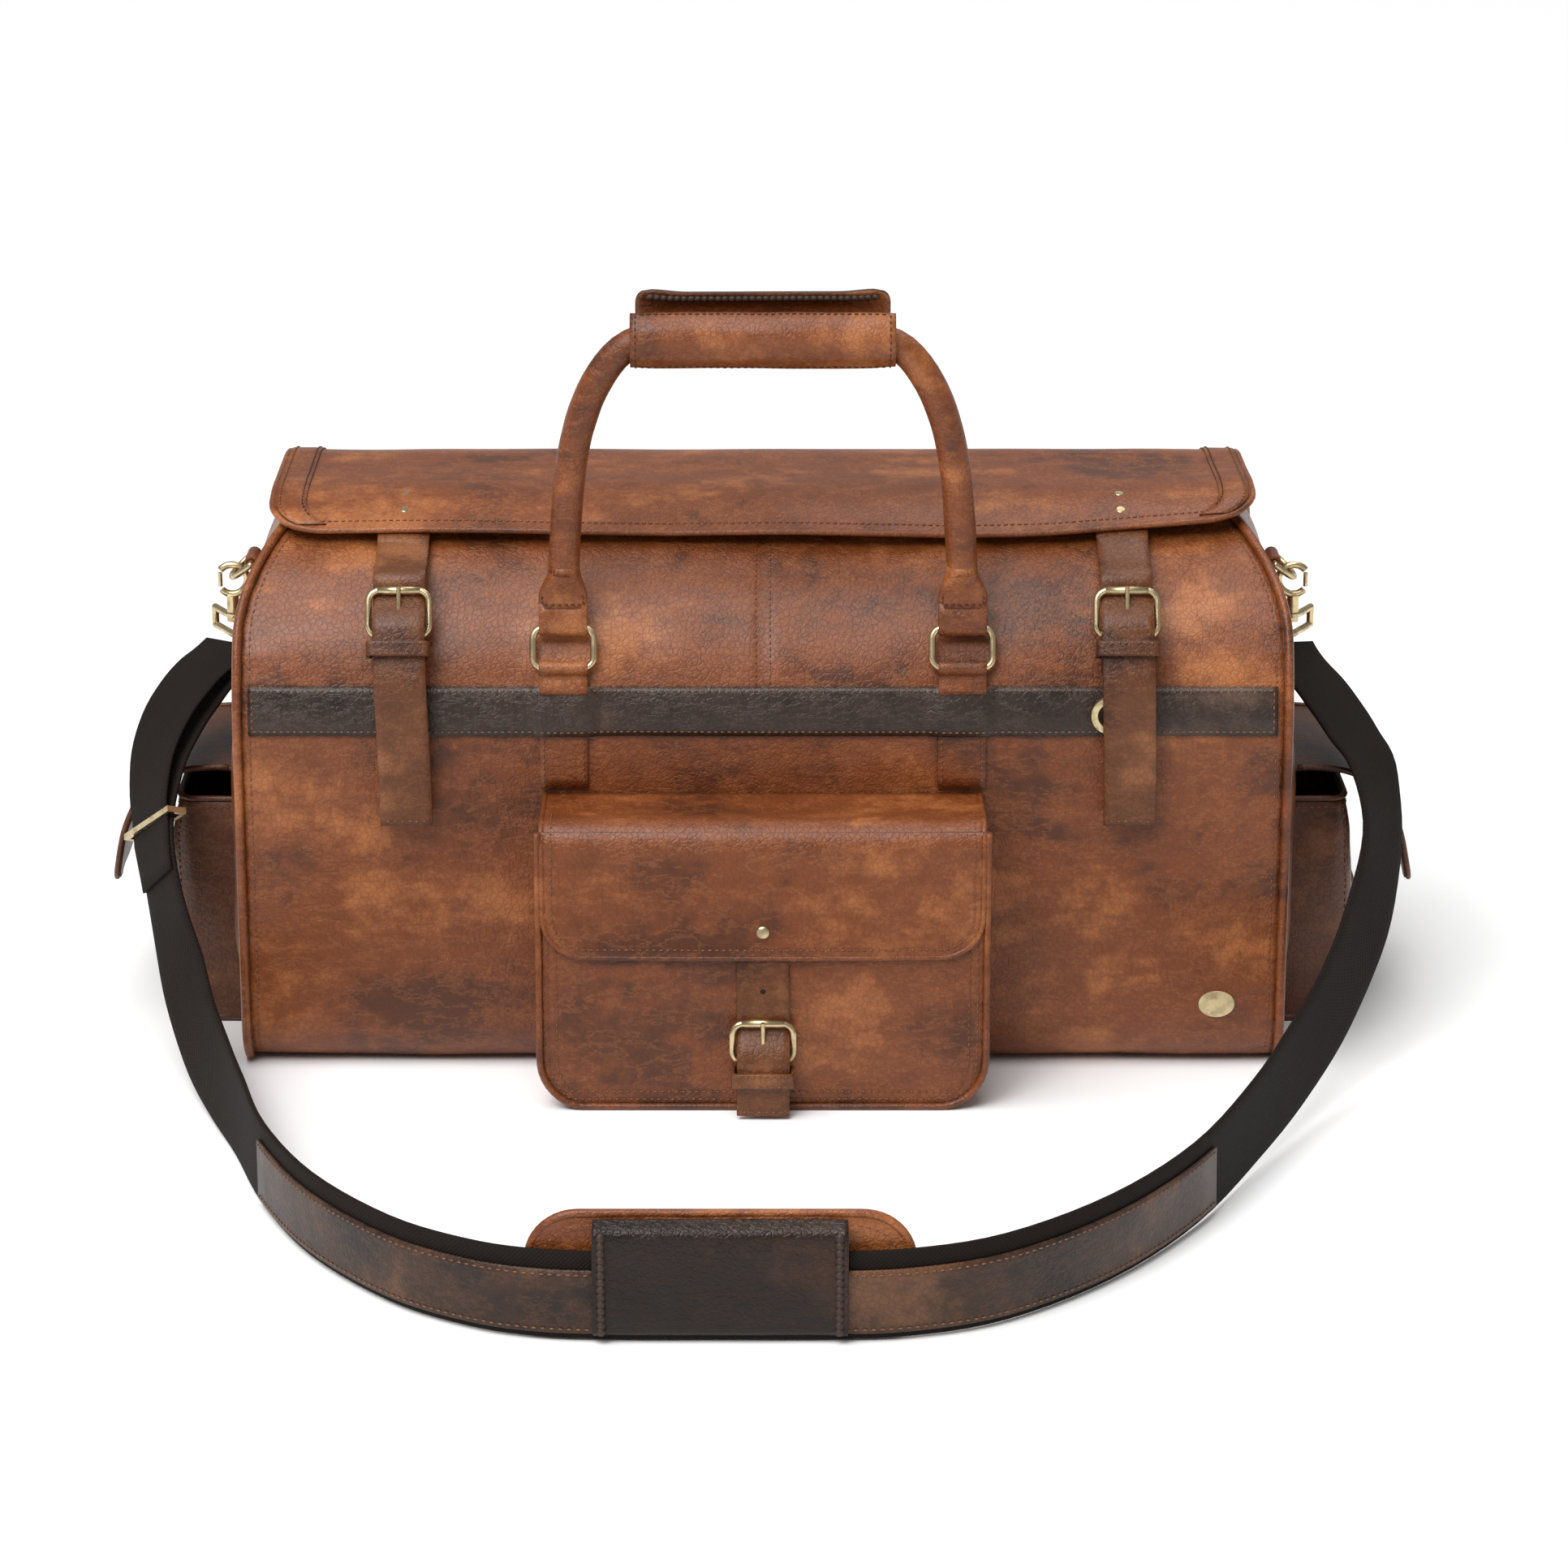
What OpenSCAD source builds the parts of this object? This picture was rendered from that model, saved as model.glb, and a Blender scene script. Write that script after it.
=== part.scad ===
/* [Body] */
// Length of the bag between its two end seams
body_len = 500; // [440:1:600]
// Depth of the bag from front face to back face
body_w = 250; // [230:1:300]
// Height of the bag to the middle of its top
body_h = 262; // [240:1:310]
// Radius of the long upper edges
top_r = 100; // [80:1:110]
// Radius of the long lower edges
bottom_r = 25; // [15:1:35]
// Radius of the upper corners as seen from the front
end_r = 60; // [50:1:80]
// How far the upper corners reach above the centre of their radius
end_rise = 50; // [40:1:58]
// Thickness of the leather panels
wall = 2.5; // [1.5:0.1:3.5]
// Thickness of the lining
lining_t = 1; // [0.6:0.1:1.6]
// Gap between neighbouring pieces of leather
gap = 0.3; // [0.2:0.1:0.6]
// Radius of the piping round both ends
piping_r = 2.5; // [1.5:0.1:3.5]
// Thickness of the stiffening board on the base
board_t = 3; // [2:0.5:5]
// Height of the dark stripe above the floor
stripe_z = 170; // [150:1:185]
// Height of the stripe itself
stripe_h = 22; // [15:1:30]

/* [Zip] */
// Half length of the part of the zip that opens
mouth_half = 198; // [160:1:205]
// Depth of each half of the mouth
mouth_w = 44; // [30:1:60]
// Width of one zip tape
tape_w = 15; // [10:1:20]
// Radius of the zip coil
coil_r = 1.6; // [1.2:0.1:2.2]

/* [Top flap] */
// Length of the top flap
flap_len = 476; // [420:1:500]
// Space between the flap and the body
flap_gap = 6; // [4:0.5:12]
// Thickness of the flap
flap_t = 2.5; // [2:0.1:4]
// Distance of each closing strap from the middle
strap_x = 173; // [150:1:190]
// Width of the closing straps
strap_w = 25; // [20:1:30]
// Thickness of the closing straps
strap_t = 2; // [1.6:0.1:2.6]

/* [Handles] */
// Distance of each handle leg from the middle
leg_x = 95; // [80:1:110]
// Radius of the rolled handle
handle_r = 7.5; // [6:0.1:9]
// Bend radius of the handle's upper corners
handle_bend = 52; // [40:1:60]
// Height of the grip above the upper ring bar
grip_rise = 141; // [125:1:155]
// Length of the wrapped grip
grip_len = 124; // [100:1:140]
// Width of the handle rings, wire centre to centre
ring_w = 29; // [24:1:34]
// Height of the handle rings, wire centre to centre
ring_h = 19; // [15:1:24]
// Radius of the ring wire
wire_r = 1.6; // [1.2:0.1:2]
// Width of the leather tabs that hold the rings
tab_w = 23; // [18:1:25]

/* [Front pocket] */
// Width of the front pocket
pocket_w = 212; // [180:1:240]
// Height of the front pocket
pocket_h = 138; // [120:1:145]
// Depth of the front pocket
pocket_d = 54; // [40:1:65]
// Radius of the pocket's lower corners
pocket_r = 24; // [15:1:35]
// Drop of the pocket flap's front
pocket_drop = 62; // [50:1:75]

/* [End pockets] */
// Width of each end pocket
end_w = 116; // [100:1:116]
// Height of each end pocket
end_h = 118; // [100:1:135]
// Depth of each end pocket
end_d = 40; // [30:1:46]

/* [Shoulder strap] */
// Width of the webbing
web_w = 40; // [30:1:40]
// Thickness of the webbing
web_t = 2.4; // [1.6:0.1:3]
// Length of the shoulder pad
pad_len = 163; // [140:1:190]
// Height of the shoulder pad as it stands on its edge
pad_h = 54; // [50:1:60]

/* [Hidden] */
$fn = 32;

tan = "sienna";
dark = "saddlebrown";
stripe_col = "dimgray";
brass = "goldenrod";
black = "darkslategray";

far = 400;
half_len = body_len / 2;
face_y = -body_w / 2;
arc_y = body_w / 2 - top_r;
arc_z = body_h - top_r;
inner = wall + gap;
hole_r = wire_r + 0.25;
fold_t = 2;
loop_r = hole_r + fold_t;

// Point on the body's section, raised by g, at angle a above the horizontal on the front
function skin(a, g) = [-arc_y - (top_r + g) * cos(a), arc_z + (top_r + g) * sin(a)];
// Height angle of a point on the upper arc at height z
function skin_angle(z, g) = z <= arc_z ? 0 : asin(min(1, (z - arc_z) / (top_r + g)));
// Half length of the body at height z, raised by g
function end_x(z, g) =
  let (dz = max(0, z - (body_h - end_rise)))
  half_len - end_r + sqrt(max(0, pow(end_r + g, 2) - dz * dz));

// Section of the body across its length, raised by g; x is depth and y is height
module section(g) {
  for (s = [-1, 1]) {
    translate([s * arc_y, arc_z]) circle(r = top_r + g, $fn = 96);
    translate([s * (body_w / 2 - bottom_r), bottom_r]) circle(r = bottom_r + g, $fn = 48);
  }
  translate([-body_w / 2 - g, bottom_r]) square([body_w + 2 * g, arc_z - bottom_r]);
  translate([-arc_y, arc_z]) square([2 * arc_y, top_r + g]);
  translate([bottom_r - body_w / 2, -g]) square([body_w - 2 * bottom_r, body_h / 2]);
}

// Front outline of the body, raised by g
module outline(g) {
  for (s = [-1, 1])
    translate([s * (half_len - end_r), body_h - end_rise]) circle(r = end_r + g, $fn = 96);
  translate([-half_len - g, -far / 2]) square([body_len + 2 * g, body_h - end_rise + far / 2]);
  translate([end_r - half_len, 0]) square([body_len - 2 * end_r, body_h + far]);
}

module along_x(len) { rotate([90, 0, 90]) linear_extrude(len, center = true) children(); }
module along_y(len) { rotate([90, 0, 0]) linear_extrude(len, center = true) children(); }

// Everything inside the ends of the body
module ends(g) { along_y(2 * far) outline(g); }
// Band that follows the body's long sides between two offsets
module band(g0, g1, len) {
  along_x(len) difference() {
    section(g1);
    section(g0);
  }
}

// Box from its low corner to its high corner
module box(lo, hi) { translate(lo) cube(hi - lo); }

// Ribbon of thickness t whose middle follows points in the depth-height plane
function unit2(v) = v / norm(v);
function bend(p, i) =
  let (a = unit2(p[i] - p[max(0, i - 1)] + (i == 0 ? p[1] - p[0] : [0, 0])),
       b = unit2(p[min(len(p) - 1, i + 1)] - p[i] + (i == len(p) - 1 ? p[i] - p[i - 1] : [0, 0])),
       m = unit2(a + b))
  [-m[1], m[0]] / max(0.5, m * a);
module ribbon(p, t, w) {
  n = len(p) - 1;
  along_x(w) polygon(concat(
    [for (i = [0 : n]) p[i] + bend(p, i) * t / 2],
    [for (i = [n : -1 : 0]) p[i] - bend(p, i) * t / 2]));
}

// Round bar from a to b
module bar(a, b, r) {
  v = b - a;
  translate(a) rotate([0, acos(v[2] / norm(v)), atan2(v[1], v[0])]) cylinder(r = r, h = norm(v));
}

// Rectangular ring of wire, standing in the plane of x and z, centred on its lower bar
module wire_ring(w, h, r) {
  for (s = [-1, 1]) {
    bar([s * w / 2, 0, 0], [s * w / 2, 0, h], r);
    for (z = [0, h]) translate([s * w / 2, 0, z]) sphere(r);
  }
  for (z = [0, h]) bar([-w / 2, 0, z], [w / 2, 0, z], r);
}

// Smooth curve through points, with steps pieces between each two
function spline(p, steps) =
  let (n = len(p) - 1)
  concat([for (i = [0 : n - 1]) for (k = [0 : steps - 1])
    let (t = k / steps, a = p[max(0, i - 1)], b = p[i], c = p[i + 1], d = p[min(n, i + 2)])
    b + (c - a) * t / 2 + (a * 2 - b * 5 + c * 4 - d) * t * t / 2 + (b * 3 - a - c * 3 + d) * t * t * t / 2],
    [p[n]]);

// Tube swept along points, with an elliptical section whose width runs along w
function unit(v) = v / max(0.0001, norm(v));
function tangent(p, i) = unit(p[min(len(p) - 1, i + 1)] - p[max(0, i - 1)]);
module sweep(p, w, width, thick, sides) {
  n = len(p);
  pts = [for (i = [0 : n - 1])
    let (t = tangent(p, i), a = unit(w[i] - t * (w[i] * t)), b = cross(t, a))
    for (k = [0 : sides - 1])
      let (q = 360 * (k + 0.5) / sides)
      p[i] + a * cos(q) * width / 2 + b * sin(q) * thick / 2];
  sides_faces = [for (i = [0 : n - 2]) for (k = [0 : sides - 1]) for (half = [0, 1])
    let (a = i * sides + k, b = i * sides + (k + 1) % sides)
    half == 0 ? [a, a + sides, b + sides] : [a, b + sides, b]];
  first = [[for (k = [0 : sides - 1]) k]];
  last = [[for (k = [sides - 1 : -1 : 0]) (n - 1) * sides + k]];
  polyhedron(points = pts, faces = concat(first, sides_faces, last), convexity = 10);
}

// ---- Body ----
module shell_side() {
  intersection() {
    band(-wall, 0, body_len + 10);
    ends(-wall - gap);
  }
}
module long_panel(side) {
  intersection() {
    shell_side();
    scale_y(side) difference() {
      box([-far, -far, bottom_r + gap], [far, leaf_in, far]);
      box([-zip_end_x, -mouth_w - gap, arc_z], [zip_end_x, far, far]);
    }
  }
}
module scale_y(side) { if (side < 0) mirror([0, 1, 0]) children(); else children(); }
module scale_x(side) { if (side < 0) mirror([1, 0, 0]) children(); else children(); }
module front_panel() { color(tan) long_panel(1); }
module back_panel() { color(tan) long_panel(-1); }
module base_panel() {
  color(tan) intersection() {
    shell_side();
    box([-far, -far, -far], [far, far, bottom_r]);
  }
}
module end_panel(side) {
  color(tan) scale_x(side) intersection() {
    along_x(body_len + 10) section(0);
    difference() {
      ends(0);
      ends(-wall);
    }
    box([0, -far, -far], [far, far, far]);
  }
}
module end_panel_left() { end_panel(-1); }
module end_panel_right() { end_panel(1); }

piping_g = piping_r + 0.1;
piping_low = 48;
function piping_point(q) =
  let (a = q <= 90 ? q : 180 - q,
       rise = skin(a, piping_g),
       low = [-body_w / 2 + bottom_r - (bottom_r + piping_g) * cos(a),
              bottom_r + (bottom_r + piping_g) * sin(a)],
       s = a < 0 ? low : rise,
       y = q <= 90 ? s[0] : -s[0])
  [end_x(s[1], piping_g), y, s[1]];
piping_path = concat(
  [for (q = [-piping_low : 8 : 0]) piping_point(q)],
  [for (q = [2 : 8 : 178]) piping_point(q)],
  [for (q = [180 : 8 : 180 + piping_low]) piping_point(q)]);
module piping() {
  color(dark) for (s = [-1, 1]) scale_x(s)
    sweep(piping_path, [for (p = piping_path) [1, 0, 0]], 2 * piping_r, 2 * piping_r, 8);
}

module lining() {
  color("tan") difference() {
    intersection() {
      along_x(body_len) section(-inner);
      ends(-inner);
    }
    intersection() {
      along_x(body_len) section(-inner - lining_t);
      ends(-inner - lining_t);
    }
    box([-mouth_half - 4, -mouth_w - 2, arc_z], [mouth_half + 4, mouth_w + 2, far]);
    box([-far, -tape_w - 2, arc_z], [far, tape_w + 2, far]);
  }
}
board_inset = 20;
module base_board() {
  z = inner + lining_t + gap;
  color("black") intersection() {
    along_x(body_len - 2 * board_inset) section(-inner - lining_t - 2);
    box([-far, -far, z + 1.8], [far, far, z + 1.8 + board_t]);
  }
}

// ---- Zip and mouth ----
tape_t = 0.8;
leaf_in = 4 - tape_w;
module mouth_half_leaf() {
  intersection() {
    band(-wall, 0, 2 * mouth_half);
    box([-far, -mouth_w, arc_z], [far, leaf_in, far]);
  }
}
module mouth_half_zip() {
  color(black) {
    box([-mouth_half, -tape_w, body_h - wall - gap - tape_t], [mouth_half, -0.4, body_h - wall - gap]);
    translate([0, -0.4 - coil_r, body_h - wall - gap + coil_r + 0.05])
      rotate([0, 90, 0]) cylinder(r = coil_r, h = 2 * mouth_half, center = true, $fn = 16);
  }
}
module mouth_leaf_front() { color(tan) mouth_half_leaf(); }
module mouth_leaf_rear() { color(tan) mirror([0, 1, 0]) mouth_half_leaf(); }
module zip_half_front() { mouth_half_zip(); }
module zip_half_rear() { mirror([0, 1, 0]) mouth_half_zip(); }
zip_end_len = 22;
zip_end_x = mouth_half + 0.4;
module zip_ends() {
  z = body_h - wall - gap - tape_t;
  color(black) for (s = [-1, 1]) scale_x(s) {
    box([zip_end_x, -tape_w, z], [zip_end_x + zip_end_len, tape_w, z + tape_t]);
    box([slider_x + slider_len / 2 + 1, -4, z + tape_t], [slider_x + slider_len / 2 + 4, 4, body_h + 1]);
  }
}
slider_len = 12;
slider_w = 9;
slider_x = zip_end_x + slider_len / 2 + 1;
zip_travel = 2 * slider_x;
slider_top = body_h - wall + 2 * coil_r + 1;
module zip_slider() {
  low = body_h - wall - gap + 0.3;
  color(brass) {
    box([slider_x - slider_len / 2, -slider_w / 2, slider_top - 1],
        [slider_x + slider_len / 2, slider_w / 2, slider_top + 0.4]);
    for (s = [-1, 1]) scale_y(s)
      box([slider_x - slider_len / 2, -slider_w / 2, low + 0.2],
          [slider_x + slider_len / 2, -slider_w / 2 + 0.6, slider_top]);
    for (s = [-1, 1])
      box([slider_x + 3 * s - 0.5, -0.9, slider_top], [slider_x + 3 * s + 0.5, 0.9, slider_top + 2.6]);
    bar([slider_x - 3, 0, slider_top + 2.2], [slider_x + 3, 0, slider_top + 2.2], 0.6);
  }
}
pull_pivot = [slider_x, 0, slider_top + 2.2];
module zip_pull() {
  color(brass) translate(pull_pivot) difference() {
    union() {
      translate([0, 0, 0]) rotate([0, 90, 0]) cylinder(r = 1.6, h = 3.4, center = true);
      box([-1.7, 0, -0.6], [1.7, 20, 0.6]);
      translate([0, 24, -0.6]) cylinder(r = 5, h = 1.2);
    }
    rotate([0, 90, 0]) cylinder(r = 0.7, h = 10, center = true);
    translate([0, 24, -2]) cylinder(r = 2.6, h = 4);
  }
}

// ---- Stripe, tabs and rings ----
stripe_g = fold_t + 2 * gap;
module stripes() {
  color(stripe_col) for (s = [1, -1]) scale_y(s) intersection() {
    band(stripe_g, stripe_g + 1.5, body_len - 6);
    box([-far, -far, stripe_z], [far, 0, stripe_z + stripe_h]);
  }
}
ring_z = 202;
ring_angle = skin_angle(ring_z, loop_r + gap);
ring_pos = skin(ring_angle, loop_r + gap);
riser_z = pocket_h + 6;
module fold_ring(pos, r_bore, w) {
  translate(pos) rotate([0, 90, 0]) difference() {
    cylinder(r = r_bore + fold_t, h = w, center = true);
    cylinder(r = r_bore, h = w + 2, center = true);
  }
}
module ring_tab(side, x) {
  scale_y(side) translate([x, 0, 0]) {
    difference() {
      intersection() {
        band(gap, gap + fold_t, tab_w);
        box([-far, -far, riser_z], [far, 0, ring_z - 1]);
      }
      translate([0, ring_pos[0], ring_pos[1]]) rotate([0, 90, 0]) cylinder(r = loop_r - 0.3, h = far, center = true);
    }
    fold_ring([0, ring_pos[0], ring_pos[1]], hole_r, tab_w);
  }
}
dring_z = 224;
dring_x = end_x(dring_z, 0) + loop_r + 1.2;
anchor_z = 164;
anchor_y = face_y - loop_r - gap;
module dring_tab() {
  difference() {
    box([dring_x - loop_r, -9, dring_z - 34], [dring_x - loop_r + fold_t, 9, dring_z]);
    translate([dring_x, 0, dring_z]) rotate([90, 0, 0]) cylinder(r = loop_r - 0.3, h = far, center = true);
    translate([0, 0, -far]) ends(gap);
    ends(gap);
  }
  translate([dring_x, 0, dring_z]) rotate([90, 0, 0]) difference() {
    cylinder(r = loop_r, h = 18, center = true);
    cylinder(r = hole_r, h = 20, center = true);
  }
}
module anchor_tab() {
  box([-7, face_y - gap - fold_t, anchor_z - 20 + 0.5], [7, face_y - gap, anchor_z - loop_r + 1]);
  fold_ring([0, anchor_y, anchor_z], hole_r, 14);
}
module ring_tabs() {
  color(tan) {
    for (side = [1, -1]) for (x = [-leg_x, leg_x]) ring_tab(side, x);
    for (s = [-1, 1]) scale_x(s) dring_tab();
    for (s = [-1, 1]) translate([s * strap_x, 0, 0]) anchor_tab();
  }
}
module rings(side) {
  color(brass) scale_y(side) for (x = [-leg_x, leg_x])
    translate([x, ring_pos[0], ring_pos[1]]) rotate([-lean, 0, 0]) wire_ring(ring_w, ring_h, wire_r);
}
lean = 18;
hang = 130;
module rings_front() { rings(1); }
module rings_rear() {
  color(brass) mirror([0, 1, 0]) for (x = [-leg_x, leg_x])
    translate([x, ring_pos[0], ring_pos[1]]) rotate([hang, 0, 0]) wire_ring(ring_w, ring_h, wire_r);
}

// ---- Handles ----
leg_h = grip_rise - handle_bend;
flare_h = 26;
module handle() {
  leg = leg_x - 2;
  for (s = [-1, 1]) scale_x(s) {
    translate([leg_x, 0, 0]) fold_ring([0, 0, 0], hole_r, tab_w);
    difference() {
      translate([leg_x, 0, 0]) hull() {
        box([-tab_w / 2, -2.2, 0], [tab_w / 2, 2.2, 12]);
        translate([-2, 0, flare_h]) cylinder(r = handle_r - 0.5, h = 1);
      }
      translate([leg_x, 0, 0]) rotate([0, 90, 0]) cylinder(r = loop_r - 0.3, h = far, center = true);
    }
    translate([leg, 0, flare_h]) cylinder(r = handle_r, h = leg_h - flare_h + 0.01);
    translate([leg - handle_bend, 0, leg_h]) rotate([90, 0, 0])
      rotate_extrude(angle = 90) translate([handle_bend, 0]) circle(r = handle_r);
  }
  translate([0, 0, grip_rise]) rotate([0, 90, 0])
    cylinder(r = handle_r, h = 2 * (leg - handle_bend) + 0.02, center = true);
}
upper_front = ring_pos + ring_h * [sin(lean) , cos(lean)];
upper_rear = [-(ring_pos[0] - ring_h * sin(hang)), ring_pos[1] + ring_h * cos(hang)];
module at_front() { translate([0, upper_front[0], upper_front[1]]) children(); }
module at_rear() { translate([0, upper_rear[0], upper_rear[1]]) rotate([180, 0, 0]) children(); }
module handle_front() { color(tan) at_front() handle(); }
module handle_rear() { color(tan) at_rear() handle(); }
wrap_r = 14.5;
wrap_t = 1.4;
module grip_wrap() {
  color(tan) at_front() translate([0, 0, grip_rise]) intersection() {
    along_x(grip_len) difference() {
      circle(r = wrap_r);
      circle(r = wrap_r - wrap_t);
    }
    union() {
      box([-far, -far, -far], [far, 0, 7]);
      box([-far, -1, -far], [far, far, -6]);
    }
  }
}
flap_pivot = [wrap_r - wrap_t / 2 - 1.5, grip_rise - 5];
module grip_flap() {
  color(tan) at_front() ribbon(
    [[flap_pivot[0], flap_pivot[1] + 0.6], [flap_pivot[0] + 2, flap_pivot[1] + 8],
     [flap_pivot[0] + 1.5, flap_pivot[1] + 17], [flap_pivot[0] - 3, flap_pivot[1] + 24]],
    wrap_t, grip_len - 4);
}

// ---- Top flap ----
flap_edge = 62;
flap_back = 45;
flap_edge_z = skin(flap_edge, flap_gap)[1];
flap_back_z = skin(flap_back, flap_gap)[1];
flap_corner = 22;
head_g = flap_gap - gap - strap_t;
module flap_plan(len, front_y) {
  linear_extrude(far) {
    translate([-len / 2, front_y + flap_corner]) square([len, far]);
    for (s = [-1, 1]) translate([s * (len / 2 - flap_corner), front_y + flap_corner]) circle(r = flap_corner);
    translate([flap_corner - len / 2, front_y]) square([len - 2 * flap_corner, far]);
  }
}
module top_flap() {
  color(tan) intersection() {
    band(flap_gap, flap_gap + flap_t, flap_len);
    union() {
      box([-far, -far, flap_edge_z], [far, 0, far]);
      box([-far, -1, flap_back_z], [far, far, far]);
    }
    flap_plan(flap_len, skin(flap_edge, flap_gap + flap_t)[0] - 1);
  }
}
head_back = -28;
head_z = skin(flap_edge - 1, head_g + strap_t)[1];
module strap_heads() {
  color(dark) intersection() {
    for (s = [-1, 1]) translate([s * strap_x, 0, 0]) band(head_g, head_g + strap_t, strap_w);
    box([-far, -far, head_z], [far, head_back, far]);
  }
}
module flap_rivets() {
  color(brass) for (s = [-1, 1]) for (a = [70, 78]) {
    p = skin(a, flap_gap + flap_t + 0.1);
    translate([s * strap_x, p[0], p[1]]) rotate([90 - a, 0, 0]) cylinder(r1 = 3.2, r2 = 2, h = 1.2);
  }
}

// ---- Buckled straps, built round the buckle's upper bar ----
buckle_w = 29;
buckle_h = 22;
buckle_r = 1.5;
billet_out = 5.6;
buckle_pos = [face_y + 12, body_h - 24];
tilt = 22;
pocket_y = face_y - gap - pocket_d;
pocket_flap_t = 2;
pocket_buckle = [pocket_y - gap - pocket_flap_t - 5, 46];
bar_hole = buckle_r + 0.25;
// Turns a point of the depth-height plane into the buckle's own directions, and back
function to_world(p, o, t) = o + [-p[0] * cos(t) - p[1] * sin(t), p[0] * sin(t) - p[1] * cos(t)];
module at_buckle(x, o, t) { translate([x, o[0], o[1]]) rotate([-t, 0, 0]) children(); }
module buckle(h) {
  color(brass) translate([0, 0, -h]) wire_ring(buckle_w, h, buckle_r);
}
module prong(h) {
  color(brass) difference() {
    union() {
      translate([0, 0, -h]) rotate([0, 90, 0]) cylinder(r = 2.9, h = 3.2, center = true);
      bar([0, -0.9, 2 - h], [0, -3, 1.4], 1.1);
    }
    translate([0, 0, -h]) rotate([0, 90, 0]) cylinder(r = buckle_r + 0.08, h = 10, center = true);
  }
}
keeper_s = 3;
keeper_h = 7;
keeper_t = 1.8;
neck_w = 13;
module chape(h, len, w) {
  color(dark) difference() {
    union() {
      box([-w / 2, -2.2, -h - len + 5.5], [w / 2, 2.2, -h]);
      box([-neck_w / 2, -2.2, -h - len], [neck_w / 2, 2.2, -h]);
      for (s = [[0, w], [len, neck_w]]) translate([0, 0, -h - s[0]]) rotate([0, 90, 0])
        cylinder(r = bar_hole + fold_t, h = s[1], center = true);
    }
    for (s = [0, len]) translate([0, 0, -h - s]) rotate([0, 90, 0])
      cylinder(r = bar_hole, h = w + 2, center = true);
    box([-2.2, -8, -h - 5], [2.2, 8, -h + 8]);
  }
  color(dark) translate([0, 0, -h - keeper_s - keeper_h]) difference() {
    box([-w / 2 - 0.5 - keeper_t, -billet_out - 2.2 - keeper_t, 0], [w / 2 + 0.5 + keeper_t, 2.5 + keeper_t, keeper_h]);
    box([-w / 2 - 0.5, -billet_out - 2.2, -1], [w / 2 + 0.5, 2.5, keeper_h + 1]);
  }
}
module billet(x, o, t, before, after, holes, w) {
  color(dark) translate([x, 0, 0]) difference() {
    ribbon(concat(before,
      [for (p = [[-2.9, -7], [-2.9, 2.5], [billet_out, 18], [billet_out, 33]]) to_world(p, o, t)],
      after), strap_t, w);
    at_buckle(0, o, t) box([-1.8, -20, -19.5], [1.8, 20, -4]);
    for (z = holes) translate([0, -far, z]) rotate([-90, 0, 0]) cylinder(r = 1.3, h = far);
  }
}
strap_top = skin(58, head_g + strap_t / 2);
tail_end = 128;
module flap_strap(x) {
  billet(x, buckle_pos, tilt, [strap_top, strap_top + [-13, -4.5]],
    [[face_y - 10.5, 196], [face_y - 11.5, tail_end]], [195, 174], strap_w);
}
chape_len = 15;
clip_w = 17;
clip_z = 24;
module clip(dx) {
  pivot = to_world([0, buckle_h + chape_len], buckle_pos, tilt);
  color(brass) translate([0, pivot[0], pivot[1]]) {
    bar([-clip_w / 2, 0, 0], [clip_w / 2, 0, 0], buckle_r);
    for (s = [-1, 1]) {
      translate([s * clip_w / 2, 0, 0]) sphere(buckle_r);
      bar([s * clip_w / 2, 0, 0], [s * clip_w / 2, -4.9, -8], buckle_r);
    }
    translate([0, -4.9, 0]) rotate([90, 0, 0]) linear_extrude(2.6, center = true) {
      translate([-clip_w / 2 - 1.4, -11]) square([clip_w + 2.8, 4]);
      translate([dx - 2.5, -14]) square([5, 5]);
      difference() {
        translate([dx, -clip_z + 2]) circle(r = 9);
        translate([dx, -clip_z + 2]) circle(r = 6);
        translate([dx + 2, -clip_z]) square([8, 4.5]);
      }
    }
  }
}
module flap_strap_left() { flap_strap(-strap_x); }
module flap_strap_right() { flap_strap(strap_x); }
module buckle_left() { at_buckle(-strap_x, buckle_pos, tilt) buckle(buckle_h); }
module buckle_right() { at_buckle(strap_x, buckle_pos, tilt) buckle(buckle_h); }
module prong_left() { at_buckle(-strap_x, buckle_pos, tilt) prong(buckle_h); }
module prong_right() { at_buckle(strap_x, buckle_pos, tilt) prong(buckle_h); }
module chape_left() { at_buckle(-strap_x, buckle_pos, tilt) chape(buckle_h, chape_len, strap_w); }
module chape_right() { at_buckle(strap_x, buckle_pos, tilt) chape(buckle_h, chape_len, strap_w); }
module clip_left() { translate([-strap_x, 0, 0]) clip(3); }
module clip_right() { translate([strap_x, 0, 0]) clip(-8); }
module anchor_rings() {
  color(brass) for (s = [-1, 1]) translate([s * strap_x, anchor_y, anchor_z]) mirror([0, 0, 1])
    wire_ring(18, 10, wire_r);
}

// ---- Front pocket ----
module pocket_face(w, h, r) {
  translate([-w / 2, r]) square([w, h - r]);
  translate([r - w / 2, 0]) square([w - 2 * r, h]);
  for (s = [-1, 1]) translate([s * (w / 2 - r), r]) circle(r = r);
}
pocket_low = 1;
lid_r = 12;
lid_z = pocket_low + pocket_h + gap;
lid_front = pocket_y - gap - pocket_flap_t;
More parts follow.
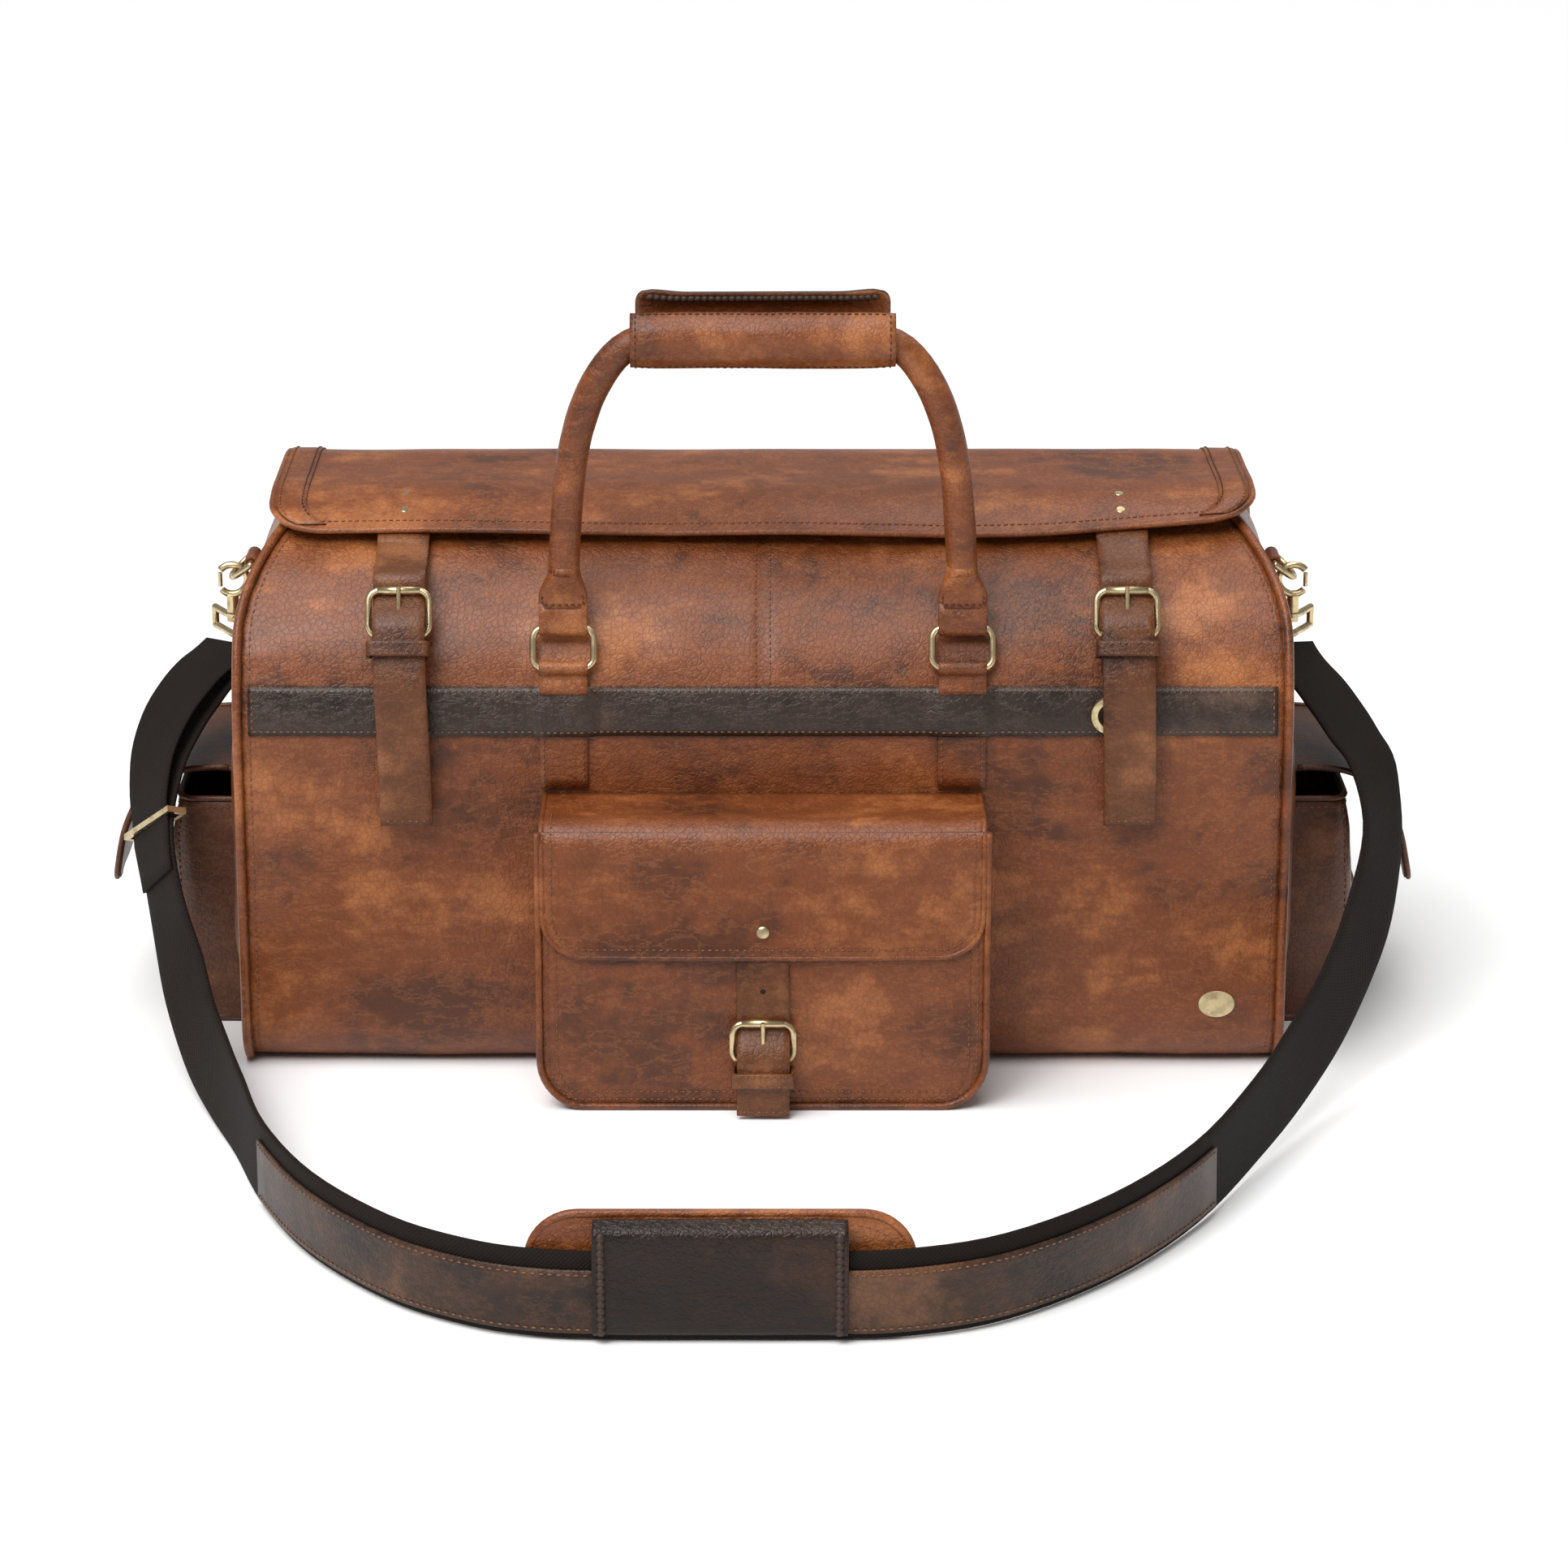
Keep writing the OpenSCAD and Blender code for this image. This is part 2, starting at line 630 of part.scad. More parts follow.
// Side view of the space under the pocket flap's outer face, shrunk by g
module lid_side(g) {
  translate([lid_front + lid_r, lid_z + pocket_flap_t - lid_r]) {
    circle(r = lid_r - g);
    square([far, lid_r - g]);
  }
  translate([lid_front + g, -far]) square([far, far + lid_z + pocket_flap_t - lid_r]);
}
module front_pocket() {
  color(tan) difference() {
    intersection() {
      translate([0, face_y - gap - pocket_d / 2, pocket_low]) along_y(pocket_d)
        pocket_face(pocket_w, pocket_h, pocket_r);
      along_x(pocket_w + 2) lid_side(pocket_flap_t + gap);
    }
    translate([0, face_y - gap - pocket_d / 2 + wall, pocket_low + wall]) along_y(pocket_d)
      pocket_face(pocket_w - 2 * wall, pocket_h + 10, pocket_r - wall);
  }
}
module pocket_flap() {
  color(tan) intersection() {
    along_x(pocket_w - 4) difference() {
      lid_side(0);
      lid_side(pocket_flap_t);
    }
    box([-far, -far, 0], [far, face_y - gap - 0.5, far]);
    translate([0, face_y, lid_z - pocket_drop]) along_y(far) pocket_face(pocket_w - 4, pocket_drop + 10, 20);
  }
}
module pocket_strap() {
  billet(0, pocket_buckle, 0, [[lid_front + pocket_flap_t / 2, lid_z - pocket_drop - gap]],
    [[pocket_buckle[0] - billet_out - 0.4, 1.6]], [60], strap_w);
}
module pocket_buckle() { at_buckle(0, pocket_buckle, 0) buckle(buckle_h - 3); }
module pocket_prong() { at_buckle(0, pocket_buckle, 0) prong(buckle_h - 3); }
module pocket_chape() { at_buckle(0, pocket_buckle, 0) chape(buckle_h - 3, chape_len, strap_w); }

// ---- End pockets ----
end_x0 = half_len + gap;
module end_pocket(side) {
  color(tan) scale_x(side) difference() {
    translate([end_x0, -end_w / 2, 1]) cube([end_d, end_w, end_h]);
    translate([end_x0 - wall, wall - end_w / 2, 1 + wall]) cube([end_d, end_w - 2 * wall, end_h]);
  }
}
leaf_top = [end_x0 + 2, end_h + 14];
leaf_pts = [leaf_top, leaf_top + [38, -2], leaf_top + [58, -14], leaf_top + [67, -36], leaf_top + [70, -60]];
module end_flap(side) {
  color(tan) scale_x(side) rotate([0, 0, 90])
    ribbon([for (p = leaf_pts) [-p[0], p[1]]], 2, end_w - 6);
}
end_strap_z = 60;
module end_buckles() {
  for (s = [-1, 1]) scale_x(s) rotate([0, 0, 90]) {
    o = [-end_x0 - end_d - 4.2, end_strap_z];
    at_buckle(0, o, 0) {
      translate([0, 0, -15]) wire_ring(22, 15, buckle_r);
      color(dark) difference() {
        union() {
          box([-9, -2.2, -40], [9, 2.2, -15]);
          translate([0, 0, -15]) rotate([0, 90, 0]) cylinder(r = bar_hole + fold_t, h = 18, center = true);
        }
        translate([0, 0, -15]) rotate([0, 90, 0]) cylinder(r = bar_hole, h = 30, center = true);
      }
    }
  }
}
module end_pocket_left() { end_pocket(-1); }
module end_pocket_right() { end_pocket(1); }
module end_flap_left() { end_flap(-1); }
module end_flap_right() { end_flap(1); }

// ---- Shoulder hardware ----
dring_r = 14;
dring_tilt = 50;
eye_drop = 2;
hook_r = 7.5;
hook_wire = 1.8;
hook_x = dring_x + dring_r * sin(dring_tilt);
hook_z = dring_z - dring_r * cos(dring_tilt) - eye_drop;
module dring(side) {
  color(brass) scale_x(side) translate([dring_x, 0, dring_z]) rotate([0, -dring_tilt, 0]) {
    bar([0, -dring_r, 0], [0, dring_r, 0], wire_r);
    for (s = [-1, 1]) translate([0, s * dring_r, 0]) sphere(wire_r);
    rotate([0, 0, 90]) rotate([-90, 0, 0]) rotate_extrude(angle = 180) translate([dring_r, 0]) circle(r = wire_r);
  }
}
module hook(side) {
  color(brass) scale_x(side) translate([hook_x, 0, hook_z]) {
    rotate([90, 0, 0]) rotate([0, 0, 42]) rotate_extrude(angle = 274) translate([hook_r, 0]) circle(r = hook_wire);
    translate([0, 0, -hook_r - 9]) cylinder(r = 3, h = 8.5);
    translate([0, 0, -hook_r - 14]) cylinder(r = 1.5, h = 6);
  }
}
gate_x = 5.9;
module gate(side) {
  color(brass) scale_x(side) translate([hook_x + gate_x, 0, hook_z - 3.5]) cylinder(r = 1.1, h = 7);
}
module dring_left() { dring(-1); }
module dring_right() { dring(1); }
module hook_left() { hook(-1); }
module hook_right() { hook(1); }
module gate_left() { gate(-1); }
module gate_right() { gate(1); }

loop_z = hook_z - hook_r - 12;
loop_h = 9;
loop_turn = 60;
module strap_loops() {
  color(brass) for (s = [-1, 1]) scale_x(s) translate([hook_x, 0, loop_z]) rotate([0, 0, loop_turn]) {
    difference() {
      union() {
        translate([0, 0, -loop_h]) wire_ring(web_w + 4, loop_h, 1.8);
        translate([0, 0, -1.9]) cylinder(r = 3, h = 4);
      }
      translate([0, 0, -5]) cylinder(r = 1.6, h = 10);
    }
  }
}

// ---- Shoulder strap: place of the middle, then direction of the width ----
route = [
  [-264, 0, 180], [-270, -8, 171], [-280, -26, 161], [-289, -47, 149], [-295, -66, 134], [-297, -84, 112],
  [-291, -104, 82], [-281, -128, 52], [-270, -158, 31], [-257, -196, 23], [-243, -240, 21],
  [-226, -300, 21], [-199, -360, 21], [-161, -410, 21], [-126, -436, 21], [-96, -447, 21],
  [-60, -450, 21], [-18, -450, 21], [24, -450, 21], [62, -447, 21], [104, -430, 21],
  [152, -386, 21], [194, -326, 22], [228, -256, 26], [252, -204, 34], [274, -160, 50],
  [293, -120, 78], [302, -90, 108], [299, -67, 135], [290, -48, 149], [280, -26, 161], [270, -8, 171],
  [264, 0, 180]];
across = [
  [5, -9, 0], [5, -9, 0], [5, -9, 0], [5, -9, 0], [5, -9, 0], [5, -9, 0],
  [5, -9, 1], [6, -8, 3], [5, -6, 7], [3, -3, 9], [1, -1, 10],
  [0, 0, 10], [0, 0, 10], [0, 0, 10], [0, 0, 10], [0, 0, 10],
  [0, 0, 10], [0, 0, 10], [0, 0, 10], [0, 0, 10], [0, 0, 10],
  [0, 0, 10], [0, 0, 10], [-1, -1, 10], [-3, -3, 9], [-5, -6, 7],
  [-6, -8, 3], [-5, -9, 1], [-5, -9, 0], [-5, -9, 0], [-5, -9, 0], [-5, -9, 0], [-5, -9, 0]];
module webbing() { color(black) sweep(spline(route, 2), spline(across, 2), web_w, web_t, 8); }
// Place of the slider among the route's points
slider_p = 5;
module strap_slider() {
  p = route[slider_p];
  t = tangent(route, slider_p);
  a = unit(across[slider_p] - t * (across[slider_p] * t));
  b = cross(t, a);
  color(brass) multmatrix([for (k = [0 : 2]) [a[k], b[k], t[k], p[k]]]) difference() {
    cube([web_w + 8, 10, 3], center = true);
    cube([web_w + 3, 6, 5], center = true);
  }
}
pad_x = -18;
module pad_plate(len, h, thick, r) {
  rotate([90, 0, 0]) linear_extrude(thick, center = true) {
    square([len - 2 * r, h], center = true);
    square([len, h - 2 * r], center = true);
    for (x = [-1, 1], z = [-1, 1]) translate([x * (len / 2 - r), z * (h / 2 - r)]) circle(r = r);
  }
}
module shoulder_pad() { color(tan) translate([pad_x, -440.5, pad_h / 2 + 0.2]) pad_plate(pad_len, pad_h, 6, 20); }
module pad_cover() { color(dark) translate([pad_x, -453.6, pad_h / 2 + 0.2]) pad_plate(108, pad_h, 3, 6); }

// ---- Badge ----
badge_w = 17.5;
badge_h = 13.5;
module badge() {
  color(brass) translate([220, face_y - gap, 34]) rotate([90, 0, 0])
    linear_extrude(1.2) scale([badge_w / badge_h, 1]) circle(d = badge_h);
}

front_panel();
back_panel();
base_panel();
end_panel_left();
end_panel_right();
piping();
lining();
base_board();
zip_ends();
stripes();
ring_tabs();
badge();
anchor_rings();
mouth_leaf_front();
zip_half_front();
mouth_leaf_rear();
zip_half_rear();
zip_slider();
zip_pull();
rings_front();
handle_front();
grip_wrap();
grip_flap();
rings_rear();
handle_rear();
top_flap();
strap_heads();
flap_rivets();
flap_strap_left();
buckle_left();
prong_left();
chape_left();
clip_left();
flap_strap_right();
buckle_right();
prong_right();
chape_right();
clip_right();
front_pocket();
pocket_flap();
pocket_strap();
pocket_buckle();
pocket_prong();
pocket_chape();
end_pocket_left();
end_pocket_right();
end_flap_left();
end_flap_right();
end_buckles();
dring_left();
dring_right();
hook_left();
hook_right();
gate_left();
gate_right();
strap_loops();
strap_slider();
webbing();
shoulder_pad();
pad_cover();
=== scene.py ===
"""Weekender bag in pull-up leather: the finished look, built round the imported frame."""
import logging
import math
import random
from dataclasses import dataclass, field
from enum import Enum
from typing import Any, Callable, Iterable, Sequence

import bmesh
import bpy
from mathutils import Matrix, Vector, noise


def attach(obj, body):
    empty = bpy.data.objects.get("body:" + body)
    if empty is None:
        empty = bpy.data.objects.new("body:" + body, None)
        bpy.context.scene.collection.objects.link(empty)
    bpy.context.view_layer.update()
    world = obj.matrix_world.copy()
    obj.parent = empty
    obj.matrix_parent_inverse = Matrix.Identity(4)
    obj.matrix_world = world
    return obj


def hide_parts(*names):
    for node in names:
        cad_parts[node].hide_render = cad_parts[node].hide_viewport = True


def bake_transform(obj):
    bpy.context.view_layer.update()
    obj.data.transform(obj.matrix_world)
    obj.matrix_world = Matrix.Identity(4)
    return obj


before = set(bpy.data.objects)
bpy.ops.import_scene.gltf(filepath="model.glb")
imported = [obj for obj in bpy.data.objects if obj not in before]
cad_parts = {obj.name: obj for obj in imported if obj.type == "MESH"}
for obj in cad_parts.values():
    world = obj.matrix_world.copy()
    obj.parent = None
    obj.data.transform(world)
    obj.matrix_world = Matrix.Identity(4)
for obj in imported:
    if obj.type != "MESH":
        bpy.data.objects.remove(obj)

log = logging.getLogger("weekender")
MM = 0.001
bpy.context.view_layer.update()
Point = Sequence[float]
Place = Callable[[float, float], Vector]


# ---------------------------------------------------------------- shader maths

class Value:
    """A number socket that adds Math nodes when it is used in an expression."""

    def __init__(self, graph: "Graph", socket: bpy.types.NodeSocket) -> None:
        """Wrap one output socket of a graph."""
        self.graph, self.socket = graph, socket

    def _math(self, operation: str, left: Any, right: Any = 0.0, clamp: bool = False) -> "Value":
        """Add one Math node.

        Args:
            operation: The node's operation.
            left: First number or value.
            right: Second number or value.
            clamp: Whether the result is kept between 0 and 1.

        Returns:
            The node's result.
        """
        made = self.graph.node("ShaderNodeMath", {"operation": operation, "use_clamp": clamp}, {0: left, 1: right})
        return Value(self.graph, made.outputs[0])

    def __add__(self, other: Any) -> "Value":
        """Sum."""
        return self._math("ADD", self, other)

    __radd__ = __add__

    def __sub__(self, other: Any) -> "Value":
        """Difference."""
        return self._math("SUBTRACT", self, other)

    def __rsub__(self, other: Any) -> "Value":
        """Difference the other way round."""
        return self._math("SUBTRACT", other, self)

    def __mul__(self, other: Any) -> "Value":
        """Product."""
        return self._math("MULTIPLY", self, other)

    __rmul__ = __mul__

    def wave(self) -> "Value":
        """Sine of the value."""
        return self._math("SINE", self)

    def size(self) -> "Value":
        """Absolute value."""
        return self._math("ABSOLUTE", self)

    def clamp(self) -> "Value":
        """The value kept between 0 and 1."""
        return self._math("ADD", self, 0.0, clamp=True)

    def between(self, low: float, high: float) -> "Value":
        """Smooth step of the value from 0 at low to 1 at high."""
        made = self.graph.node(
            "ShaderNodeMapRange", {"interpolation_type": "SMOOTHSTEP"}, {0: self, 1: low, 2: high, 3: 0.0, 4: 1.0}
        )
        return Value(self.graph, made.outputs[0])


class Graph:
    """The node tree of one material, with one method that makes every node."""

    def __init__(self, name: str) -> None:
        """Start an empty material with a Principled shader.

        Args:
            name: The material's name.
        """
        self.material = bpy.data.materials.new(f"finish_{name}")
        self.material.use_nodes = True
        self.tree = self.material.node_tree
        self.tree.nodes.clear()
        self.shader = self.node("ShaderNodeBsdfPrincipled")
        output = self.node("ShaderNodeOutputMaterial")
        self.tree.links.new(self.shader.outputs[0], output.inputs[0])
        self.coords = self.node("ShaderNodeTexCoord")

    def node(self, kind: str, settings: dict | None = None, sockets: dict | None = None) -> bpy.types.Node:
        """Make a node.

        Args:
            kind: The node's type.
            settings: Properties of the node, set first.
            sockets: Input sockets by name or number, with their values or links.

        Returns:
            The new node.
        """
        made = self.tree.nodes.new(kind)
        for key, value in (settings or {}).items():
            setattr(made, key, value)
        for key, value in (sockets or {}).items():
            self.plug(made.inputs[key], value)
        return made

    def plug(self, socket: bpy.types.NodeSocket, value: Any) -> None:
        """Link or set one input socket."""
        if isinstance(value, Value):
            value = value.socket
        if isinstance(value, bpy.types.NodeSocket):
            self.tree.links.new(value, socket)
        else:
            socket.default_value = value

    def place(self, uv: bool = False, stretch: Point = (1, 1, 1)) -> bpy.types.NodeSocket:
        """Coordinates of the piece, stretched along its axes.

        Args:
            uv: Whether the piece's own UV map is read, and not its place.
            stretch: Factor along each axis.

        Returns:
            The vector socket.
        """
        source = self.coords.outputs["UV" if uv else "Object"]
        if tuple(stretch) == (1, 1, 1):
            return source
        return self.node("ShaderNodeMapping", None, {"Vector": source, "Scale": tuple(stretch)}).outputs[0]

    def noise(self, at: bpy.types.NodeSocket, scale: float, detail: float = 3.0, rough: float = 0.55) -> Value:
        """Cloudy noise between 0 and 1."""
        made = self.node("ShaderNodeTexNoise", None, {"Vector": at, "Scale": scale, "Detail": detail, "Roughness": rough})
        return Value(self, made.outputs[0])

    def cells(self, at: bpy.types.NodeSocket, scale: float, feature: str = "F1") -> Value:
        """Distance field of scattered cells."""
        made = self.node("ShaderNodeTexVoronoi", {"feature": feature}, {"Vector": at, "Scale": scale})
        return Value(self, made.outputs["Distance"])

    def axis(self, at: bpy.types.NodeSocket, name: str) -> Value:
        """One component of a vector."""
        return Value(self, self.node("ShaderNodeSeparateXYZ", None, {0: at}).outputs[name])

    def mix(self, factor: Any, first: Any, second: Any) -> bpy.types.NodeSocket:
        """Blend of two colours."""
        made = self.node("ShaderNodeMix", {"data_type": "RGBA"}, {0: factor, 6: first, 7: second})
        return made.outputs[2]

    def bump(self, height: Value, strength: float, distance: float) -> None:
        """Roughen the surface by a height field."""
        made = self.node("ShaderNodeBump", None, {"Strength": strength, "Distance": distance, "Height": height})
        self.plug(self.shader.inputs["Normal"], made.outputs[0])

    def finish(self, **sockets: Any) -> bpy.types.Material:
        """Set the shader's sockets and return the material.

        Args:
            sockets: Socket names with spaces written as underscores.

        Returns:
            The finished material.
        """
        for key, value in sockets.items():
            self.plug(self.shader.inputs[key.replace("_", " ")], value)
        return self.material


def rgb(red: float, green: float, blue: float) -> tuple[float, float, float, float]:
    """A colour with full alpha."""
    return (red, green, blue, 1.0)


@dataclass(frozen=True)
class Leather:
    """Waxed leather that lightens where it is pulled and darkens where it rests."""

    name: str
    dark: tuple[float, ...]
    mid: tuple[float, ...]
    light: tuple[float, ...]
    roughness: float = 0.42
    grain: float = 0.35
    mottle: float = 1.0
    coat: float = 0.12

    def make(self) -> bpy.types.Material:
        """Build the material.

        Returns:
            The leather.
        """
        g = Graph(self.name)
        at = g.place()
        broad = g.noise(at, 8.5, 5.0, 0.62)
        streak = g.noise(g.place(stretch=(9.0, 26.0, 34.0)), 1.0, 4.0, 0.6)
        small = g.noise(at, 75.0, 4.0, 0.65)
        pores = g.cells(at, 950.0)
        wrinkle = g.cells(at, 330.0, "DISTANCE_TO_EDGE").between(0.0, 0.16)
        crease = g.noise(g.place(stretch=(1.0, 1.0, 2.6)), 42.0, 5.0, 0.7)
        tone = (broad * 0.55 + streak * 0.35 + small * 0.22 - 0.06) * self.mottle + 0.5 * (1 - self.mottle)
        low = g.mix(tone.between(0.34, 0.52), rgb(*self.dark), rgb(*self.mid))
        base = g.mix(tone.between(0.53, 0.70), low, rgb(*self.light))
        veins = (crease - 0.5).size().between(0.0, 0.035)
        worn = g.mix((1 - veins) * 0.30, base, rgb(*self.light))
        speck = g.mix((1 - wrinkle) * 0.25, worn, rgb(*self.dark))
        rough = self.roughness + (small - 0.5) * 0.22 + (1 - tone) * 0.10
        height = pores * 0.25 + wrinkle * 0.45 + small * 0.9 + (1 - veins) * 0.35 + crease * 0.8
        g.bump(height, self.grain, 0.0009)
        return g.finish(
            Base_Color=speck, Roughness=rough, Coat_Weight=self.coat, Coat_Roughness=0.3, Specular_IOR_Level=0.32
        )


@dataclass(frozen=True)
class Brass:
    """Antique brass, polished where it rubs and darker in its hollows."""

    name: str = "antique_brass"
    bright: tuple[float, ...] = (0.66, 0.53, 0.31)
    dull: tuple[float, ...] = (0.30, 0.22, 0.12)
    roughness: float = 0.24

    def make(self) -> bpy.types.Material:
        """Build the material.

        Returns:
            The brass.
        """
        g = Graph(self.name)
        at = g.place()
        tarnish = g.noise(at, 160.0, 5.0, 0.6)
        scratch = g.noise(g.place(stretch=(300.0, 300.0, 2600.0)), 1.0, 3.0, 0.6)
        colour = g.mix(tarnish.between(0.46, 0.68) * 0.55, rgb(*self.bright), rgb(*self.dull))
        rough = self.roughness + tarnish.between(0.4, 0.7) * 0.22 + (scratch - 0.5) * 0.12
        g.bump(scratch * 0.5 + tarnish, 0.12, 0.0002)
        return g.finish(Base_Color=colour, Metallic=1.0, Roughness=rough)


@dataclass(frozen=True)
class Woven:
    """Woven cloth or webbing whose threads follow the piece's own UV map, in metres."""

    name: str
    dark: tuple[float, ...]
    light: tuple[float, ...]
    pitch: float = 0.0016
    roughness: float = 0.85
    twill: float = 0.0
    depth: float = 0.0005

    def make(self) -> bpy.types.Material:
        """Build the material.

        Returns:
            The cloth.
        """
        g = Graph(self.name)
        at = g.place(uv=True)
        across, along = g.axis(at, "X"), g.axis(at, "Y")
        turn = 2 * math.pi / self.pitch
        warp = ((across * turn) + along * turn * self.twill).wave()
        weft = (along * turn).wave()
        threads = (warp * weft) * 0.5 + 0.5
        dust = g.noise(g.place(), 60.0, 4.0)
        fuzz = g.noise(g.place(), 900.0, 2.0)
        colour = g.mix((threads * 0.65 + dust * 0.35).clamp(), rgb(*self.dark), rgb(*self.light))
        g.bump(threads + fuzz * 0.4, 0.6, self.depth)
        return g.finish(Base_Color=colour, Roughness=self.roughness + (fuzz - 0.5) * 0.1, Specular_IOR_Level=0.2)


@dataclass(frozen=True)
class Plain:
    """A quiet finish with a little grain, for threads, edges and board."""

    name: str
    dark: tuple[float, ...]
    light: tuple[float, ...]
    roughness: float = 0.7
    scale: float = 220.0
    strength: float = 0.3

    def make(self) -> bpy.types.Material:
        """Build the material.

        Returns:
            The finish.
        """
        g = Graph(self.name)
        grain = g.noise(g.place(), self.scale, 5.0, 0.65)
        colour = g.mix(grain.between(0.35, 0.65), rgb(*self.dark), rgb(*self.light))
        g.bump(grain, self.strength, 0.0004)
        return g.finish(Base_Color=colour, Roughness=self.roughness + (grain - 0.5) * 0.15)


class Finish(Enum):
    """The finishes of the bag."""

    TAN = Leather("tan_leather", (0.078, 0.0195, 0.0046), (0.185, 0.047, 0.0098), (0.37, 0.122, 0.034), 0.36, 0.42,
                  1.6, 0.25)
    STRAP = Leather("strap_leather", (0.045, 0.013, 0.0045), (0.120, 0.037, 0.0105), (0.25, 0.092, 0.031), 0.36, 0.35,
                    1.5, 0.15)
    STRIPE = Leather("stripe_leather", (0.014, 0.0075, 0.005), (0.034, 0.019, 0.0125), (0.095, 0.052, 0.033), 0.3,
                     0.35, 1.3, 0.3)
    # Darker copy of the tan leather for the end pockets: the extra darkness is painted shade, as the end pockets stand
    # in shade.
    POCKET = Leather("pocket_leather_painted_shade", (0.034, 0.011, 0.004), (0.095, 0.029, 0.010), (0.20, 0.075, 0.028), 0.4, 0.4,
                     1.4, 0.2)
    PAD = Leather("pad_leather", (0.005, 0.0022, 0.0012), (0.011, 0.0045, 0.0022), (0.040, 0.015, 0.007), 0.32, 0.35,
                  1.4, 0.0)
    # Strap overlay leather, much darker than the strap leather: partly its own darker leather, partly painted shade,
    # as the strap lies in shade.
    OVERLAY = Leather("overlay_leather_painted_shade", (0.013, 0.0055, 0.003), (0.040, 0.017, 0.008), (0.13, 0.055, 0.024), 0.4,
                      0.35, 1.6, 0.1)
    EDGE = Plain("cut_edge", (0.030, 0.011, 0.006), (0.060, 0.022, 0.010), 0.55)
    THREAD = Plain("thread", (0.13, 0.045, 0.018), (0.24, 0.095, 0.040), 0.6, 900.0)
    DARK_THREAD = Plain("dark_thread", (0.022, 0.010, 0.006), (0.050, 0.022, 0.012), 0.6, 900.0)
    BRASS = Brass()
    WEBBING = Woven("webbing", (0.0025, 0.0014, 0.0009), (0.015, 0.0085, 0.0055), 0.0021, 0.8)
    TAPE = Woven("zip_tape", (0.006, 0.005, 0.005), (0.030, 0.026, 0.024), 0.0012, 0.85)
    LINING = Woven("lining_cloth", (0.10, 0.075, 0.05), (0.22, 0.175, 0.12), 0.0012, 0.9, 1.0)
    COIL = Plain("nylon_coil", (0.012, 0.011, 0.010), (0.030, 0.027, 0.024), 0.35)
    BOARD = Plain("board", (0.03, 0.03, 0.03), (0.07, 0.065, 0.06), 0.85)
    # Near-black finish of the flat discs laid on the straps where punched holes would be: painted shade of the holes'
    # insides.
    HOLE = Plain("punched_hole_shade", (0.006, 0.003, 0.002), (0.012, 0.006, 0.004), 0.9)

    @property
    def material(self) -> bpy.types.Material:
        """The material, made once."""
        return bpy.data.materials.get(f"finish_{self.value.name}") or self.value.make()


# ---------------------------------------------------------------- building pieces

def lerp(first: float, last: float, share: float) -> float:
    """Number a share of the way from first to last."""
    return first + (last - first) * share


def spread(first: float, last: float, count: int) -> list[float]:
    """Evenly spaced numbers.

    Args:
        first: The first number.
        last: The last number.
        count: How many steps lie between them.

    Returns:
        count + 1 numbers.
    """
    return [lerp(first, last, i / count) for i in range(count + 1)]


def rough(seed: float, *where: float) -> float:
    """Smooth noise from -1 to 1 at a place given in mm."""
    x, y, z = (list(where) + [0.0, 0.0])[:3]
    return noise.noise(Vector((x + seed * 37.1, y - seed * 11.3, z + seed * 5.7)))


def smooth(points: Sequence[Point], steps: int = 6, closed: bool = False) -> list[Vector]:
    """A Catmull-Rom curve through points.

    Args:
        points: The points it goes through.
        steps: Steps between two neighbouring points.
        closed: Whether the last point joins the first.

    Returns:
        The points along the curve.
    """
    pts = [Vector(p) for p in points]
    n = len(pts)
    pick = (lambda i: pts[i % n]) if closed else (lambda i: pts[min(max(i, 0), n - 1)])
    out = []
    for i in range(n if closed else n - 1):
        a, b, c, d = pick(i - 1), pick(i), pick(i + 1), pick(i + 2)
        for k in range(steps):
            t = k / steps
            out.append(
                0.5 * (2 * b + (c - a) * t + (2 * a - 5 * b + 4 * c - d) * t * t + (3 * b - a - 3 * c + d) * t * t * t)
            )
    if not closed:
        out.append(pts[-1].copy())
    return out


def resample(path: Sequence[Vector], pitch: float) -> list[Vector]:
    """Points evenly spaced along a path.

    Args:
        path: The path's own points.
        pitch: The wanted spacing.

    Returns:
        The new points, the first and last of the path among them.
    """
    lengths = [(b - a).length for a, b in zip(path, path[1:])]
    total = sum(lengths)
    count = max(2, round(total / pitch))
    out, i, used = [], 0, 0.0
    for k in range(count + 1):
        target = total * k / count
        while i < len(lengths) - 1 and used + lengths[i] < target:
            used += lengths[i]
            i += 1
        share = 0.0 if lengths[i] == 0 else min(1.0, (target - used) / lengths[i])
        out.append(path[i].lerp(path[i + 1], share))
    return out


